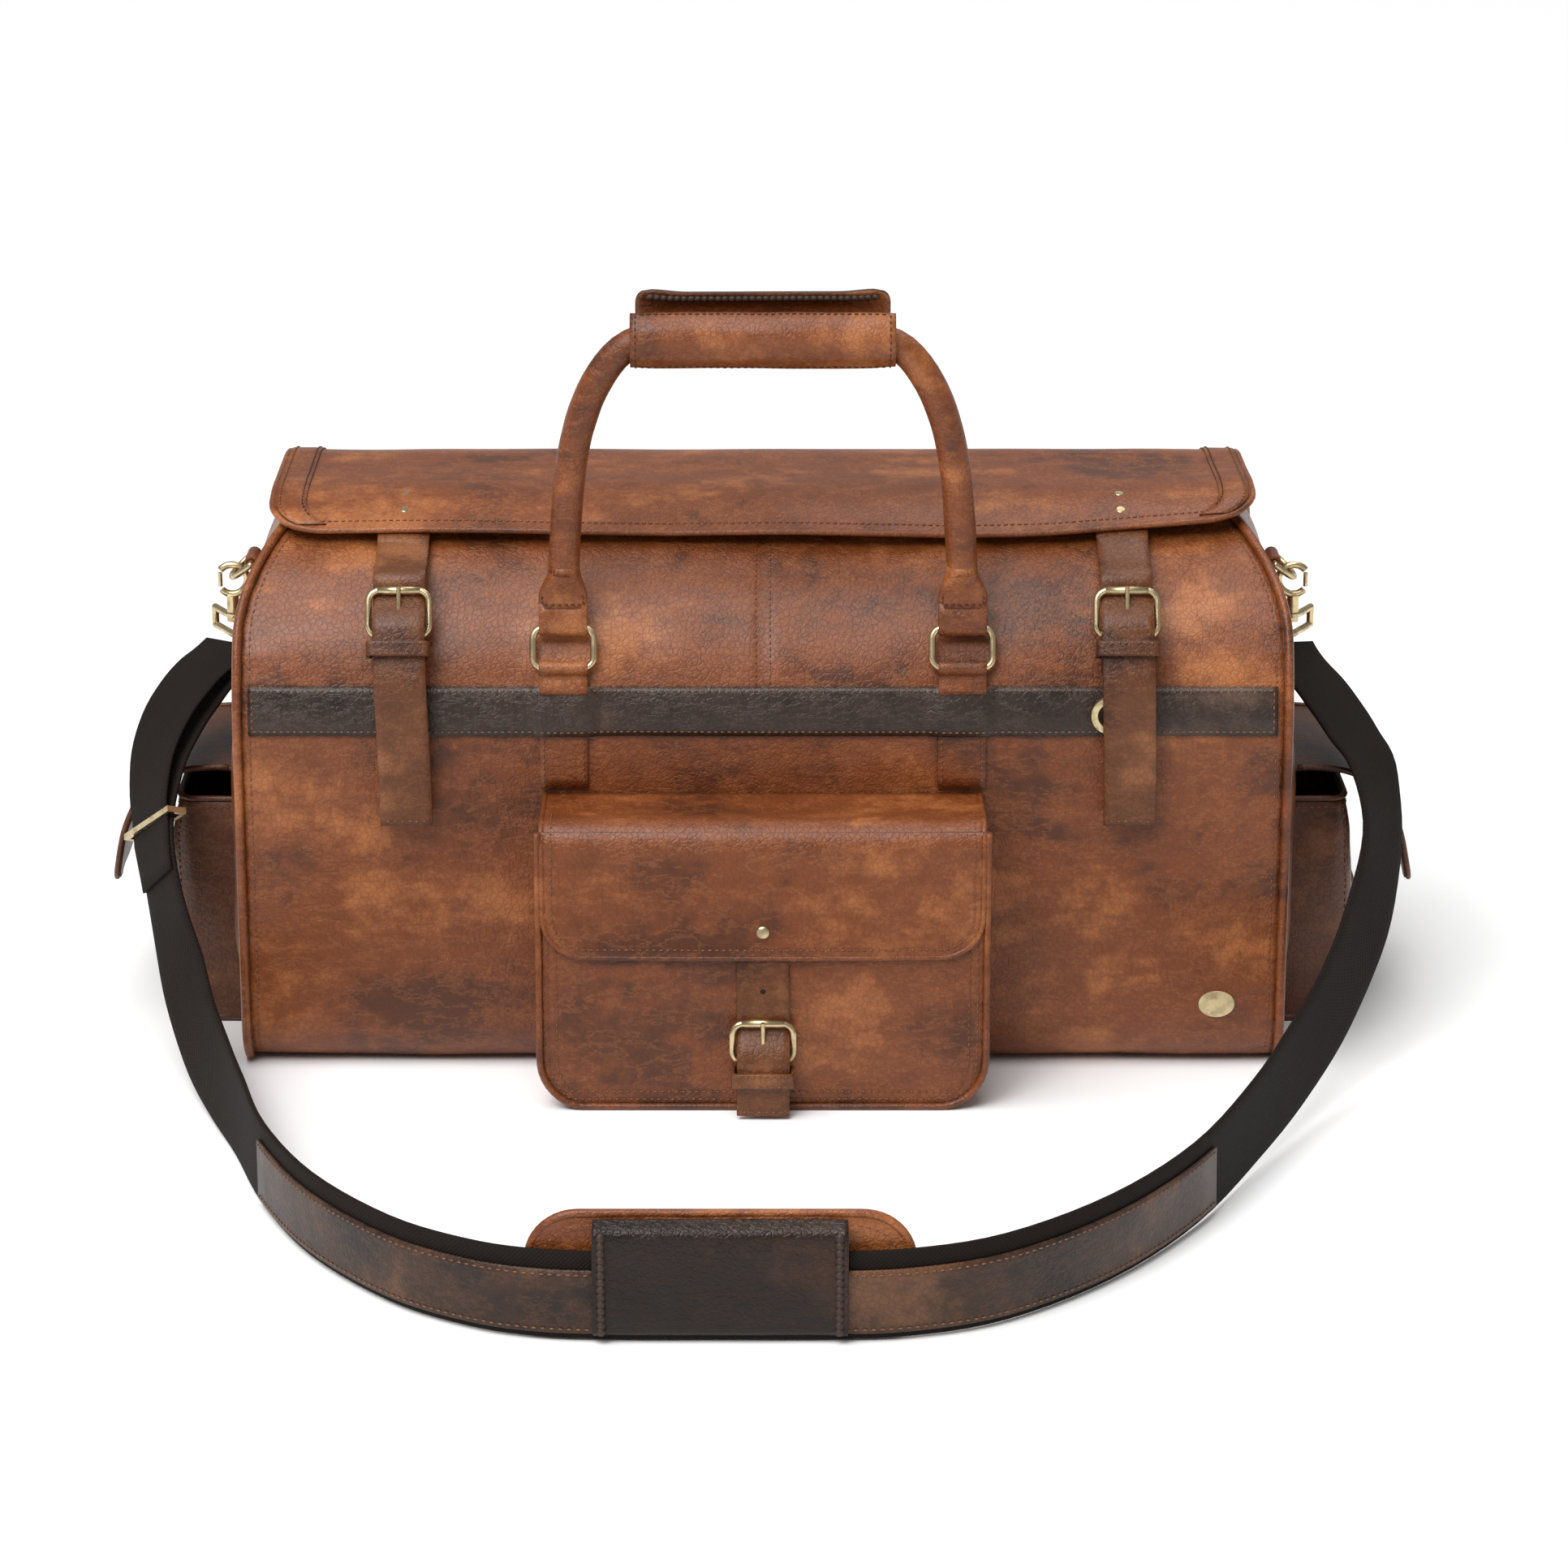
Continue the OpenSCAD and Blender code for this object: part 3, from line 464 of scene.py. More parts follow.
class Piece:
    """One object of the bag while its mesh is being made, in mm."""

    def __init__(self, name: str, *finishes: Finish) -> None:
        """Start an empty piece.

        Args:
            name: The object's name.
            finishes: Its material slots, in order.
        """
        self.name, self.finishes = name, finishes
        self.bm = bmesh.new()
        self.uv = self.bm.loops.layers.uv.new("UVMap")

    def sheet(self, place: Place, us: Sequence[float], vs: Sequence[float], material: int = 0) -> list:
        """Add a surface laid out on a grid, with its UVs in metres.

        Args:
            place: Gives the point for the two grid values, in mm.
            us: Grid values across.
            vs: Grid values along.
            material: The slot of its faces.

        Returns:
            Its faces.
        """
        nu, nv = len(us) - 1, len(vs) - 1
        made = bmesh.ops.create_grid(self.bm, x_segments=nu, y_segments=nv, size=1.0)["verts"]
        spot = {}
        for vert in made:
            i, j = round((vert.co.x + 1) / 2 * nu), round((vert.co.y + 1) / 2 * nv)
            spot[vert] = (us[i], vs[j])
            vert.co = place(us[i], vs[j])
        faces = list({face for vert in made for face in vert.link_faces})
        for face in faces:
            face.material_index = material
            face.smooth = True
            for loop in face.loops:
                u, v = spot[loop.vert]
                loop[self.uv].uv = (u * MM, v * MM)
        return faces

    def loft(self, rings: Sequence[Sequence[Vector]], closed: bool = False, caps: bool = True, material: int = 0) -> list:
        """Add a skin through a row of closed rings.

        Args:
            rings: Rings of points, all of one count, in mm.
            closed: Whether the last ring joins the first.
            caps: Whether open ends are filled.
            material: The slot of its faces.

        Returns:
            Its faces.
        """
        before = set(self.bm.faces)
        sides = len(rings[0])
        first = bmesh.ops.create_circle(self.bm, segments=sides, radius=1.0)["verts"]
        loops = [first]
        edges = list({e for v in first for e in v.link_edges})
        for _ in rings[1:]:
            grown = bmesh.ops.extrude_edge_only(self.bm, edges=edges)["geom"]
            edges = [g for g in grown if isinstance(g, bmesh.types.BMEdge) and all(v in grown for v in g.verts)]
            new = {v for v in grown if isinstance(v, bmesh.types.BMVert)}
            loops.append([next(e.other_vert(v) for e in v.link_edges if e.other_vert(v) in new) for v in loops[-1]])
        for loop, ring in zip(loops, rings):
            for vert, point in zip(loop, ring):
                vert.co = point
        if closed:
            ends = [e for loop in (loops[0], loops[-1]) for v in loop for e in v.link_edges if e.is_boundary]
            bmesh.ops.bridge_loops(self.bm, edges=list(set(ends)))
        elif caps:
            for loop in (loops[0], loops[-1]):
                ring = list({e for v in loop for e in v.link_edges if e.is_boundary})
                bmesh.ops.contextual_create(self.bm, geom=ring)
        faces = [f for f in self.bm.faces if f not in before]
        run, girth = [0.0], [0.0]
        for a, b in zip(rings, rings[1:]):
            run.append(run[-1] + (b[0] - a[0]).length)
        for a, b in zip(rings[0], list(rings[0][1:]) + [rings[0][0]]):
            girth.append(girth[-1] + (b - a).length)
        where = {v: (girth[k], run[j]) for j, loop in enumerate(loops) for k, v in enumerate(loop)}
        for face in faces:
            face.material_index = material
            face.smooth = len(face.verts) <= 4
            across = [where[v][0] for v in face.verts]
            for loop in face.loops:
                u, v = where[loop.vert]
                if u == 0.0 and max(across) > girth[-1] / 2:
                    u = girth[-1]
                loop[self.uv].uv = (u * MM, v * MM)
        return faces

    def strip(self, path: Sequence[Vector], sides: Sequence[Vector], outline: Sequence[Point], closed: bool = False,
              material: int = 0) -> list:
        """Sweep an outline along a path.

        Args:
            path: Points of the path, in mm.
            sides: Direction of the outline's width at each point.
            outline: Points of the outline as (width, height).
            closed: Whether the path closes on itself.
            material: The slot of its faces.

        Returns:
            Its faces.
        """
        rings = []
        n = len(path)
        for i, point in enumerate(path):
            ahead = path[(i + 1) % n] if closed or i < n - 1 else point
            behind = path[i - 1] if closed or i > 0 else point
            run = (ahead - behind).normalized()
            side = (sides[i] - run * run.dot(sides[i])).normalized()
            up = run.cross(side)
            rings.append([point + side * a + up * b for a, b in outline])
        return self.loft(rings, closed=closed, material=material)

    def rod(self, path: Sequence[Vector], radius: float, side: Point, sides: int = 12, closed: bool = False,
            material: int = 0) -> list:
        """Sweep a circle along a path."""
        return self.strip(path, [Vector(side)] * len(path), round_outline(radius, radius, sides), closed, material)

    def stitches(self, path: Sequence[Vector], normal: Callable[[Vector], Vector] | Point, pitch: float = 3.4,
                 material: int = 0, width: float = 0.85) -> None:
        """Sew a row of stitches along a path.

        Args:
            path: Points of the seam, in mm.
            normal: Outward direction, or a function of the place.
            pitch: Length of one stitch and its gap.
            material: The slot of the thread.
            width: Thickness of the thread.
        """
        points = resample(path, pitch)
        for a, b in zip(points, points[1:]):
            mid, run = (a + b) / 2, (b - a).normalized()
            out = Vector(normal(mid) if callable(normal) else normal)
            side = run.cross(out)
            if side.length < 1e-6:
                continue
            side.normalize()
            up = side.cross(run)
            verts = bmesh.ops.create_icosphere(self.bm, subdivisions=1, radius=1.0)["verts"]
            for vert in verts:
                x, y, z = vert.co
                vert.co = mid + run * x * pitch * 0.36 + side * y * width / 2 + up * (z * width / 2 + width * 0.15)
            for face in {f for v in verts for f in v.link_faces}:
                face.material_index, face.smooth = material, True

    def block(self, low: Point, high: Point, bevel: float = 0.0, material: int = 0, segments: int = 2) -> list:
        """Add a box with bevelled edges.

        Args:
            low: Its lower corner, in mm.
            high: Its upper corner.
            bevel: Width of its bevels.
            material: The slot of its faces.
            segments: Steps across each bevel.

        Returns:
            Its vertices.
        """
        before = set(self.bm.verts)
        verts = bmesh.ops.create_cube(self.bm, size=1.0)["verts"]
        for vert in verts:
            vert.co = [lerp(a, b, c + 0.5) for a, b, c in zip(low, high, vert.co)]
        if bevel:
            edges = list({e for v in verts for e in v.link_edges})
            bmesh.ops.bevel(self.bm, geom=edges, offset=bevel, offset_type="OFFSET", segments=segments, profile=0.5,
                            affect="EDGES", material=-1)
        made = [v for v in self.bm.verts if v not in before]
        for face in {f for v in made for f in v.link_faces}:
            face.material_index, face.smooth = material, True
        return made

    def dome(self, centre: Vector, out: Vector, radius: float, height: float, material: int = 0) -> None:
        """Add a low round head, such as a rivet's."""
        verts = bmesh.ops.create_uvsphere(self.bm, u_segments=16, v_segments=8, radius=1.0)["verts"]
        turn = out.to_track_quat("Z", "Y").to_matrix()
        for vert in verts:
            vert.co = centre + turn @ Vector((vert.co.x * radius, vert.co.y * radius, vert.co.z * height))
        for face in {f for v in verts for f in v.link_faces}:
            face.material_index, face.smooth = material, True

    def finish(self, thickness: float = 0.0, rim: int | None = None, outward: bool = False, bevel: float = 0.0,
               replaces: Sequence[str] = ()) -> bpy.types.Object:
        """Make the object.

        Args:
            thickness: Thickness given to its sheets, in mm.
            rim: The slot of the cut edges.
            outward: Whether the thickness goes along the faces' normals.
            bevel: Width of the rounding given to sharp edges, in mm.
            replaces: CAD nodes that it stands for.

        Returns:
            The object, with its place in its mesh.
        """
        bmesh.ops.scale(self.bm, vec=(MM, MM, MM), verts=self.bm.verts)
        bmesh.ops.recalc_face_normals(self.bm, faces=self.bm.faces) if not thickness else None
        mesh = bpy.data.meshes.new(self.name)
        self.bm.to_mesh(mesh)
        self.bm.free()
        for finish in self.finishes:
            mesh.materials.append(finish.material)
        made = bpy.data.objects.new(self.name, mesh)
        bpy.context.collection.objects.link(made)
        if thickness:
            solid = made.modifiers.new("Thickness", "SOLIDIFY")
            solid.thickness = thickness * MM
            solid.offset = 1.0 if outward else -1.0
            if rim is not None:
                solid.material_offset_rim = rim
        if bevel:
            edge = made.modifiers.new("Edges", "BEVEL")
            edge.width = bevel * MM
            edge.segments = 2
            edge.limit_method = "ANGLE"
            edge.angle_limit = math.radians(50)
            edge.harden_normals = False
        if replaces:
            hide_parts(*replaces)
        return made


def round_outline(width: float, height: float, sides: int) -> list[tuple[float, float]]:
    """Outline of an ellipse with those half sizes."""
    return [(width * math.cos(2 * math.pi * k / sides), height * math.sin(2 * math.pi * k / sides)) for k in range(sides)]


def strap_outline(width: float, thick: float, crown: float = 0.0) -> list[tuple[float, float]]:
    """Outline of a flat strap with rounded edges.

    Args:
        width: Full width.
        thick: Full thickness.
        crown: How far its middle stands above its edges.

    Returns:
        Points as (width, height).
    """
    half, low = width / 2, thick / 2
    across = spread(-1, 1, 8)
    top = [(half * a * 0.97, low + crown * (1 - a * a)) for a in reversed(across)]
    bottom = [(half * a * 0.97, -low) for a in across]
    return [(half, low * 0.35)] + top + [(-half, low * 0.35), (-half, -low * 0.35)] + bottom + [(half, -low * 0.35)]


def ring_path(width: float, height: float, radius: float, steps: int = 5) -> list[tuple[float, float]]:
    """Centre line of a rounded rectangular wire, from its lower bar, anticlockwise."""
    out = []
    for turn, (sx, sy) in enumerate([(1, 0), (1, 1), (-1, 1), (-1, 0)]):
        cx, cy = sx * (width / 2 - radius), height - radius if sy else radius
        for k in range(steps + 1):
            angle = math.pi / 2 * (turn - 1 + k / steps)
            out.append((cx + radius * math.cos(angle), cy + radius * math.sin(angle)))
    return out


# ---------------------------------------------------------------- the bag's shape

TOP_FLAT, TOP_R, LOW_R = 25.0, 100.0, 25.0
ARC_Z, HALF_W, HEIGHT = 162.0, 125.0, 262.0
END_R, END_X, END_Z = 60.0, 190.0, 212.0
ARC_END = TOP_FLAT + TOP_R * math.pi / 2
WALL_END = ARC_END + ARC_Z - LOW_R
LOW_END = WALL_END + LOW_R * math.pi / 2
SEAM_LOW = LOW_END + 0.5
MOUTH_S, ZIP_S, MOUTH_X = 44.4, 15.2, 198.4
STRAP_X, LEG_X = 173.0, 95.0


def section(s: float, g: float = 0.0) -> tuple[float, float]:
    """Point of the front half of the bag's section.

    Args:
        s: Distance along the skin from the middle of the top.
        g: Height above the skin.

    Returns:
        Depth and height.
    """
    if s < TOP_FLAT:
        return -s, HEIGHT + g
    if s < ARC_END:
        turn = (s - TOP_FLAT) / TOP_R
        return -TOP_FLAT - (TOP_R + g) * math.sin(turn), ARC_Z + (TOP_R + g) * math.cos(turn)
    if s < WALL_END:
        return -HALF_W - g, ARC_Z - (s - ARC_END)
    if s < LOW_END:
        turn = (s - WALL_END) / LOW_R
        return -HALF_W + LOW_R - (LOW_R + g) * math.cos(turn), LOW_R - (LOW_R + g) * math.sin(turn)
    return -HALF_W + LOW_R + (s - LOW_END), -g


def skin_s(z: float) -> float:
    """Distance along the skin of the point at height z on the front or upper arc."""
    return ARC_END + ARC_Z - z if z < ARC_Z else TOP_FLAT + TOP_R * math.acos((z - ARC_Z) / TOP_R)


def end_x(z: float) -> float:
    """Half length of the bag at a height."""
    return END_X + END_R if z < END_Z else END_X + math.sqrt(max(END_R**2 - (z - END_Z) ** 2, 0.0))


def ease(value: float, low: float, high: float) -> float:
    """Smooth step from 0 at low to 1 at high."""
    t = min(max((value - low) / (high - low), 0.0), 1.0)
    return t * t * (3 - 2 * t)


def slump(side: int, x: float, s: float) -> float:
    """How far the soft skin stands from its even shape.

    Args:
        side: 1 for the front, -1 for the back.
        x: Place along the bag.
        s: Distance along the skin.

    Returns:
        The height above the even skin, never much above nothing.
    """
    broad = rough(side, x * 0.011, s * 0.014) * 1.5
    fine = rough(side + 4, x * 0.035, s * 0.045) * 0.55
    edge = 1 - ease(250 - abs(x), 0, 26)
    pucker = edge * (0.5 * math.sin(s * 0.42 + side) * ease(s, 60, 110) - 0.4)
    belly = 1.6 * ease(s, 190, 260) * (1 - ease(s, 300, 350)) * math.cos(x / 250 * math.pi / 2)
    hardware = max(1 - ease(abs(abs(x) - LEG_X), 10, 40), 0) * (1 - ease(s, 205, 235))
    return min(broad + fine + belly, 1.9) * (1 - hardware) * (1 - 0.7 * edge) + pucker - 0.25


def skin(side: int, x: float, s: float, g: float = 0.0) -> Vector:
    """Point on the soft skin.

    Args:
        side: 1 for the front, -1 for the back.
        x: Place along the bag.
        s: Distance along the skin from the middle of the top.
        g: Height above the skin.

    Returns:
        The point, in mm.
    """
    y, z = section(s, g + slump(side, x, s))
    return Vector((x, side * y, z))


def skin_out(side: int) -> Callable[[Vector], Vector]:
    """Outward direction of the skin near a point of one side."""
    def out(at: Vector) -> Vector:
        """Direction away from the section's own centres."""
        y = at.y * side
        centre_z = ARC_Z if at.z > ARC_Z else at.z if at.z > LOW_R else LOW_R
        centre_y = -TOP_FLAT if at.z > ARC_Z else 0.0 if at.z > LOW_R else -HALF_W + LOW_R
        return Vector((0, side * (y - centre_y), at.z - centre_z)).normalized()
    return out


@dataclass
class Shell:
    """The soft body: panels, ends, base, piping, stripe and tabs."""

    rows: list[float] = field(default_factory=list)

    def build(self) -> None:
        """Build every piece of the body."""
        for side in (1, -1):
            self.panel(side)
            self.stripe(side)
        self.base()
        for end in (-1, 1):
            self.gusset(end)
            self.welt(end)
        self.mouth()
        self.hide_lining()

    def panel(self, side: int) -> None:
        """Front or back panel, the front with its middle seam.

        Args:
            side: 1 for the front, -1 for the back.
        """
        name = "front" if side > 0 else "back"
        mouth_t = MOUTH_X / end_x(261)
        ts = spread(-1, -mouth_t, 8) + spread(-mouth_t, mouth_t, 116)[1:] + spread(mouth_t, 1, 8)[1:]
        ss = spread(ZIP_S, MOUTH_S, 4) + spread(MOUTH_S, ARC_END, 28)[1:] + spread(ARC_END, WALL_END, 26)[1:]
        ss += spread(WALL_END, SEAM_LOW, 8)[1:]

        def place(t: float, s: float) -> Vector:
            """Point of the panel, drawn in at the middle seam."""
            _, z = section(s)
            x = t * (end_x(z) - 0.5)
            crease = -0.8 * math.exp(-((x / 2.2) ** 2)) if side > 0 and s < skin_s(190) else 0.0
            return skin(side, x, s, crease)

        piece = Piece(f"{name}_skin", Finish.TAN, Finish.EDGE, Finish.THREAD)
        piece.sheet(lambda t, s: place(t / 250, s), [250 * t for t in ts], ss)
        gone = [f for f in piece.bm.faces
                if f.calc_center_median().z > 250 and abs(f.calc_center_median().y) < 44.2
                and abs(f.calc_center_median().x) < MOUTH_X]
        bmesh.ops.delete(piece.bm, geom=gone, context="FACES")
        made = piece.finish(1.3, 1, outward=side > 0, replaces=[f"{name}_panel"])
        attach(made, "bag")
        sewing = Piece(f"{name}_sewing", Finish.THREAD)
        out = skin_out(side)
        for end in (-1, 1):
            seam = [skin(side, end * (end_x(section(s)[1]) - 5), s, 0.1) for s in spread(60, WALL_END + 20, 60)]
            sewing.stitches(seam, out, 3.6)
        if side > 0:
            for x in (-3.4, 3.4):
                sewing.stitches([skin(1, x, s, 0.15) for s in spread(76, skin_s(193), 20)], out, 3.2)
        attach(sewing.finish(), "bag")

    def stripe(self, side: int) -> None:
        """Dark stripe, with the ring tabs under it.

        Args:
            side: 1 for the front, -1 for the back.
        """
        name = "front" if side > 0 else "rear"
        top, low = skin_s(192.5), skin_s(169.5)
        out = skin_out(side)

        def lift(x: float) -> float:
            """Height of the stripe over the skin where it crosses the tabs."""
            over = max(1 - ease(abs(abs(x) - LEG_X), 11.5, 15.5), 0.0)
            return 0.15 + 2.4 * over + 0.35 * rough(3, x * 0.12) ** 2

        piece = Piece(f"stripe_{name}", Finish.STRIPE, Finish.EDGE, Finish.DARK_THREAD)
        faces = piece.sheet(lambda x, s: skin(side, x, s, lift(x)), spread(-245.5, 245.5, 170), spread(top, low, 7))
        piece.finishes = (Finish.STRIPE, Finish.EDGE, Finish.THREAD)
        made = piece.finish(1.2, 1, outward=side < 0)
        if side > 0:
            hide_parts("stripes")
        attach(made, "bag")
        sewing = Piece(f"stripe_{name}_sewing", Finish.THREAD)
        for s in (top + 2.0, low - 2.0):
            sewing.stitches([skin(side, x, s, lift(x) + 1.25) for x in spread(-244, 244, 120)], out, 3.2)
        for x in (-243.6, 243.6):
            sewing.stitches([skin(side, x, s, lift(x) + 1.25) for s in spread(top + 2, low - 2, 4)], out, 3.2)
        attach(sewing.finish(), "bag")
        tabs = Piece(f"tabs_{name}", Finish.TAN, Finish.EDGE, Finish.THREAD)
        for leg in (-LEG_X, LEG_X):
            self.tab(tabs, side, leg)
        tabs_made = tabs.finish()
        if side > 0:
            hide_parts("ring_tabs")
            self.small_tabs()
        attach(tabs_made, "bag")

    def tab(self, piece: Piece, side: int, leg: float) -> None:
        """One leather tab, folded over its ring's lower bar.

        Args:
            piece: The piece that it is added to.
            side: 1 for the front, -1 for the back.
            leg: Its place along the bag.
        """
        ring_y, ring_z, roll = -121.16, 202.0, 2.75
        low = skin_s(144)
        path = [Vector((0, *section(s, 1.0))) for s in spread(low, skin_s(198), 10)]
        fold = [Vector((0, ring_y - roll * math.cos(a), ring_z + roll * math.sin(a))) for a in spread(-0.9, 3.6, 10)]
        fold.reverse()
        front = [Vector((0, *section(s, 3.1))) for s in spread(skin_s(198), skin_s(189), 3)]
        points = [Vector((leg, side * p.y, p.z)) for p in path + fold + front]
        piece.strip(points, [Vector((1, 0, 0))] * len(points), strap_outline(23, 1.7), material=0)
        out = skin_out(side)
        for x in (leg - 9.6, leg + 9.6):
            for span in ((low - 2, skin_s(168)),):
                rows = [Vector((x, side * section(s, 2.0)[0], section(s, 2.0)[1])) for s in spread(*span, 6)]
                piece.stitches(rows, out, 3.2, 2)

    def small_tabs(self) -> None:
        """Leather loops that hold the end rings and the anchor rings."""
        piece = Piece("small_tabs", Finish.TAN, Finish.EDGE, Finish.THREAD)
        for end in (-1, 1):
            x, z, roll = 253.85, 224.0, 2.7
            fold = [Vector((x + roll * math.cos(a), 0, z + roll * math.sin(a))) for a in spread(-1.2, 3.3, 10)]
            path = fold + [Vector((end_x(z - k) + 2.2, 0, z - k)) for k in (8, 18, 30, 38)]
            piece.strip([Vector((end * p.x, 0, p.z)) for p in path], [Vector((0, 1, 0))] * len(path),
                        strap_outline(19, 1.8))
        for x in (-STRAP_X, STRAP_X):
            y, z, roll = -129.15, 164.0, 2.7
            fold = [Vector((x, y - roll * math.sin(a), z + roll * math.cos(a))) for a in spread(-0.2, 4.0, 10)]
            path = [Vector((x, -127.0, 144.0)), Vector((x, -127.2, 152.0))] + list(reversed(fold))
            piece.strip(path, [Vector((1, 0, 0))] * len(path), strap_outline(14, 1.6))
        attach(piece.finish(), "bag")

    def base(self) -> None:
        """Base panel, its long edges turned up a little."""
        piece = Piece("base_skin", Finish.TAN, Finish.EDGE, Finish.THREAD)
        piece.sheet(lambda x, y: Vector((x, y, 0.3 + 0.9 * (abs(y) / 100) ** 6)), spread(-248.5, 248.5, 60),
                    spread(-100.5, 100.5, 24))
        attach(piece.finish(1.6, 1, outward=True, replaces=["base_panel"]), "bag")

    def gusset(self, end: int) -> None:
        """Soft end of the bag, swelling out between its seams.

        Args:
            end: -1 for the left end, 1 for the right.
        """
        zs = spread(0.4, 25, 8) + spread(25, 162, 26)[1:] + spread(162, HEIGHT - 0.5, 26)[1:]

        def half(z: float) -> float:
            """Half depth of the section at a height."""
            if z < LOW_R:
                return HALF_W - LOW_R + math.sqrt(LOW_R**2 - (LOW_R - z) ** 2)
            if z < ARC_Z:
                return HALF_W
            return TOP_FLAT + math.sqrt(max(TOP_R**2 - (z - ARC_Z) ** 2, 0.0))

        def place(u: float, z: float) -> Vector:
            """Point of the end."""
            rise = ease(z, 0, 55) * (1 - ease(z, 120, 238))
            swell = (1 - abs(u) ** 2.6) * (13.5 * rise + 1.2) + 1.3 * rough(end * 2, u * 3, z * 0.03) * (1 - u * u)
            return Vector((end * (end_x(z) + swell - 0.6), u * (half(z) - 0.4), z))

        piece = Piece(f"end_{'left' if end < 0 else 'right'}_skin", Finish.TAN, Finish.EDGE)
        piece.sheet(lambda y, z: place(y / 125, z), [125 * u for u in spread(-1, 1, 48)], zs)
        made = piece.finish(1.3, 1, outward=end < 0, replaces=[f"end_panel_{'left' if end < 0 else 'right'}"])
        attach(made, "bag")

    def welt(self, end: int) -> None:
        """Piping round one end."""
        half = [(end_x(section(s)[1]), *section(s, 0.6)) for s in spread(0, 458, 150)]
        loop = [Vector((end * (x + 0.9), y, max(z, 2.4))) for x, y, z in half]
        loop += [Vector((p.x, -p.y, p.z)) for p in reversed(loop[1:-1])]
        piece = Piece(f"piping_{'left' if end < 0 else 'right'}", Finish.TAN, Finish.THREAD)
        piece.rod(loop, 2.3, (1, 0, 0), 8, closed=True)
        made = piece.finish()
        if end < 0:
            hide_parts("piping")
        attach(made, "bag")

    def mouth(self) -> None:
        """Leather facing beside each half of the zip."""
        for side, name in ((1, "front"), (-1, "rear")):
            piece = Piece(f"mouth_{name}_leather", Finish.TAN, Finish.EDGE, Finish.THREAD)

            def place(x: float, s: float) -> Vector:
                """Point of the facing."""
                y, z = section(s, -0.15 - 0.3 * rough(side * 5, x * 0.03, s * 0.06) ** 2)
                return Vector((x, side * y, z))

            piece.sheet(place, spread(-197.6, 197.6, 90), spread(11.2, 44.0, 8))
            facing = piece.finish(2.0, 1, outward=side > 0, replaces=[f"mouth_leaf_{name}"])
            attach(facing, f"mouth_{name}")
            sewing = Piece(f"mouth_{name}_sewing", Finish.THREAD)
            sewing.stitches([place(x, 14.0) for x in spread(-196, 196, 60)], (0, 0, 1), 3.4)
            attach(sewing.finish(), f"mouth_{name}")

    def hide_lining(self) -> None:
        """Give the CAD parts that stay their finishes."""
        for node, finish in (("lining", Finish.LINING), ("base_board", Finish.BOARD), ("zip_ends", Finish.TAPE),
                             ("zip_half_front", Finish.TAPE), ("zip_half_rear", Finish.TAPE)):
            dress(node, finish)


def dress(node: str, finish: Finish) -> None:
    """Give a CAD node its finish.

    Args:
        node: The node's name.
        finish: The finish of its only slot.
    """
    made = bpy.data.objects[node]
    for slot in made.material_slots:
        slot.material = finish.material


# ---------------------------------------------------------------- flap and closing straps

def seam_rows(piece: Piece, path: Sequence[Vector], side: Vector, offsets: Sequence[float], lift: float,
              material: int, pitch: float = 3.2) -> None:
    """Sew rows of stitches along a strap.

    Args:
        piece: The piece they are added to.
        path: Middle line of the strap.
        side: Direction of its width.
        offsets: Place of each row across the strap.
        lift: Height of the thread above the middle line.
        material: The slot of the thread.
        pitch: Length of one stitch and its gap.
    """
    ups = []
    for i, point in enumerate(path):
        run = (path[min(i + 1, len(path) - 1)] - path[max(i - 1, 0)]).normalized()
        ups.append(run.cross((side - run * run.dot(side)).normalized()))
    def out(at: Vector) -> Vector:
        """Outward direction of the strap nearest to a point."""
        return ups[min(range(len(path)), key=lambda k: (path[k] - at).length_squared)]
    for offset in offsets:
        row = [p + side * offset + up * lift for p, up in zip(path, ups)]
        piece.stitches(row, out, pitch, material)


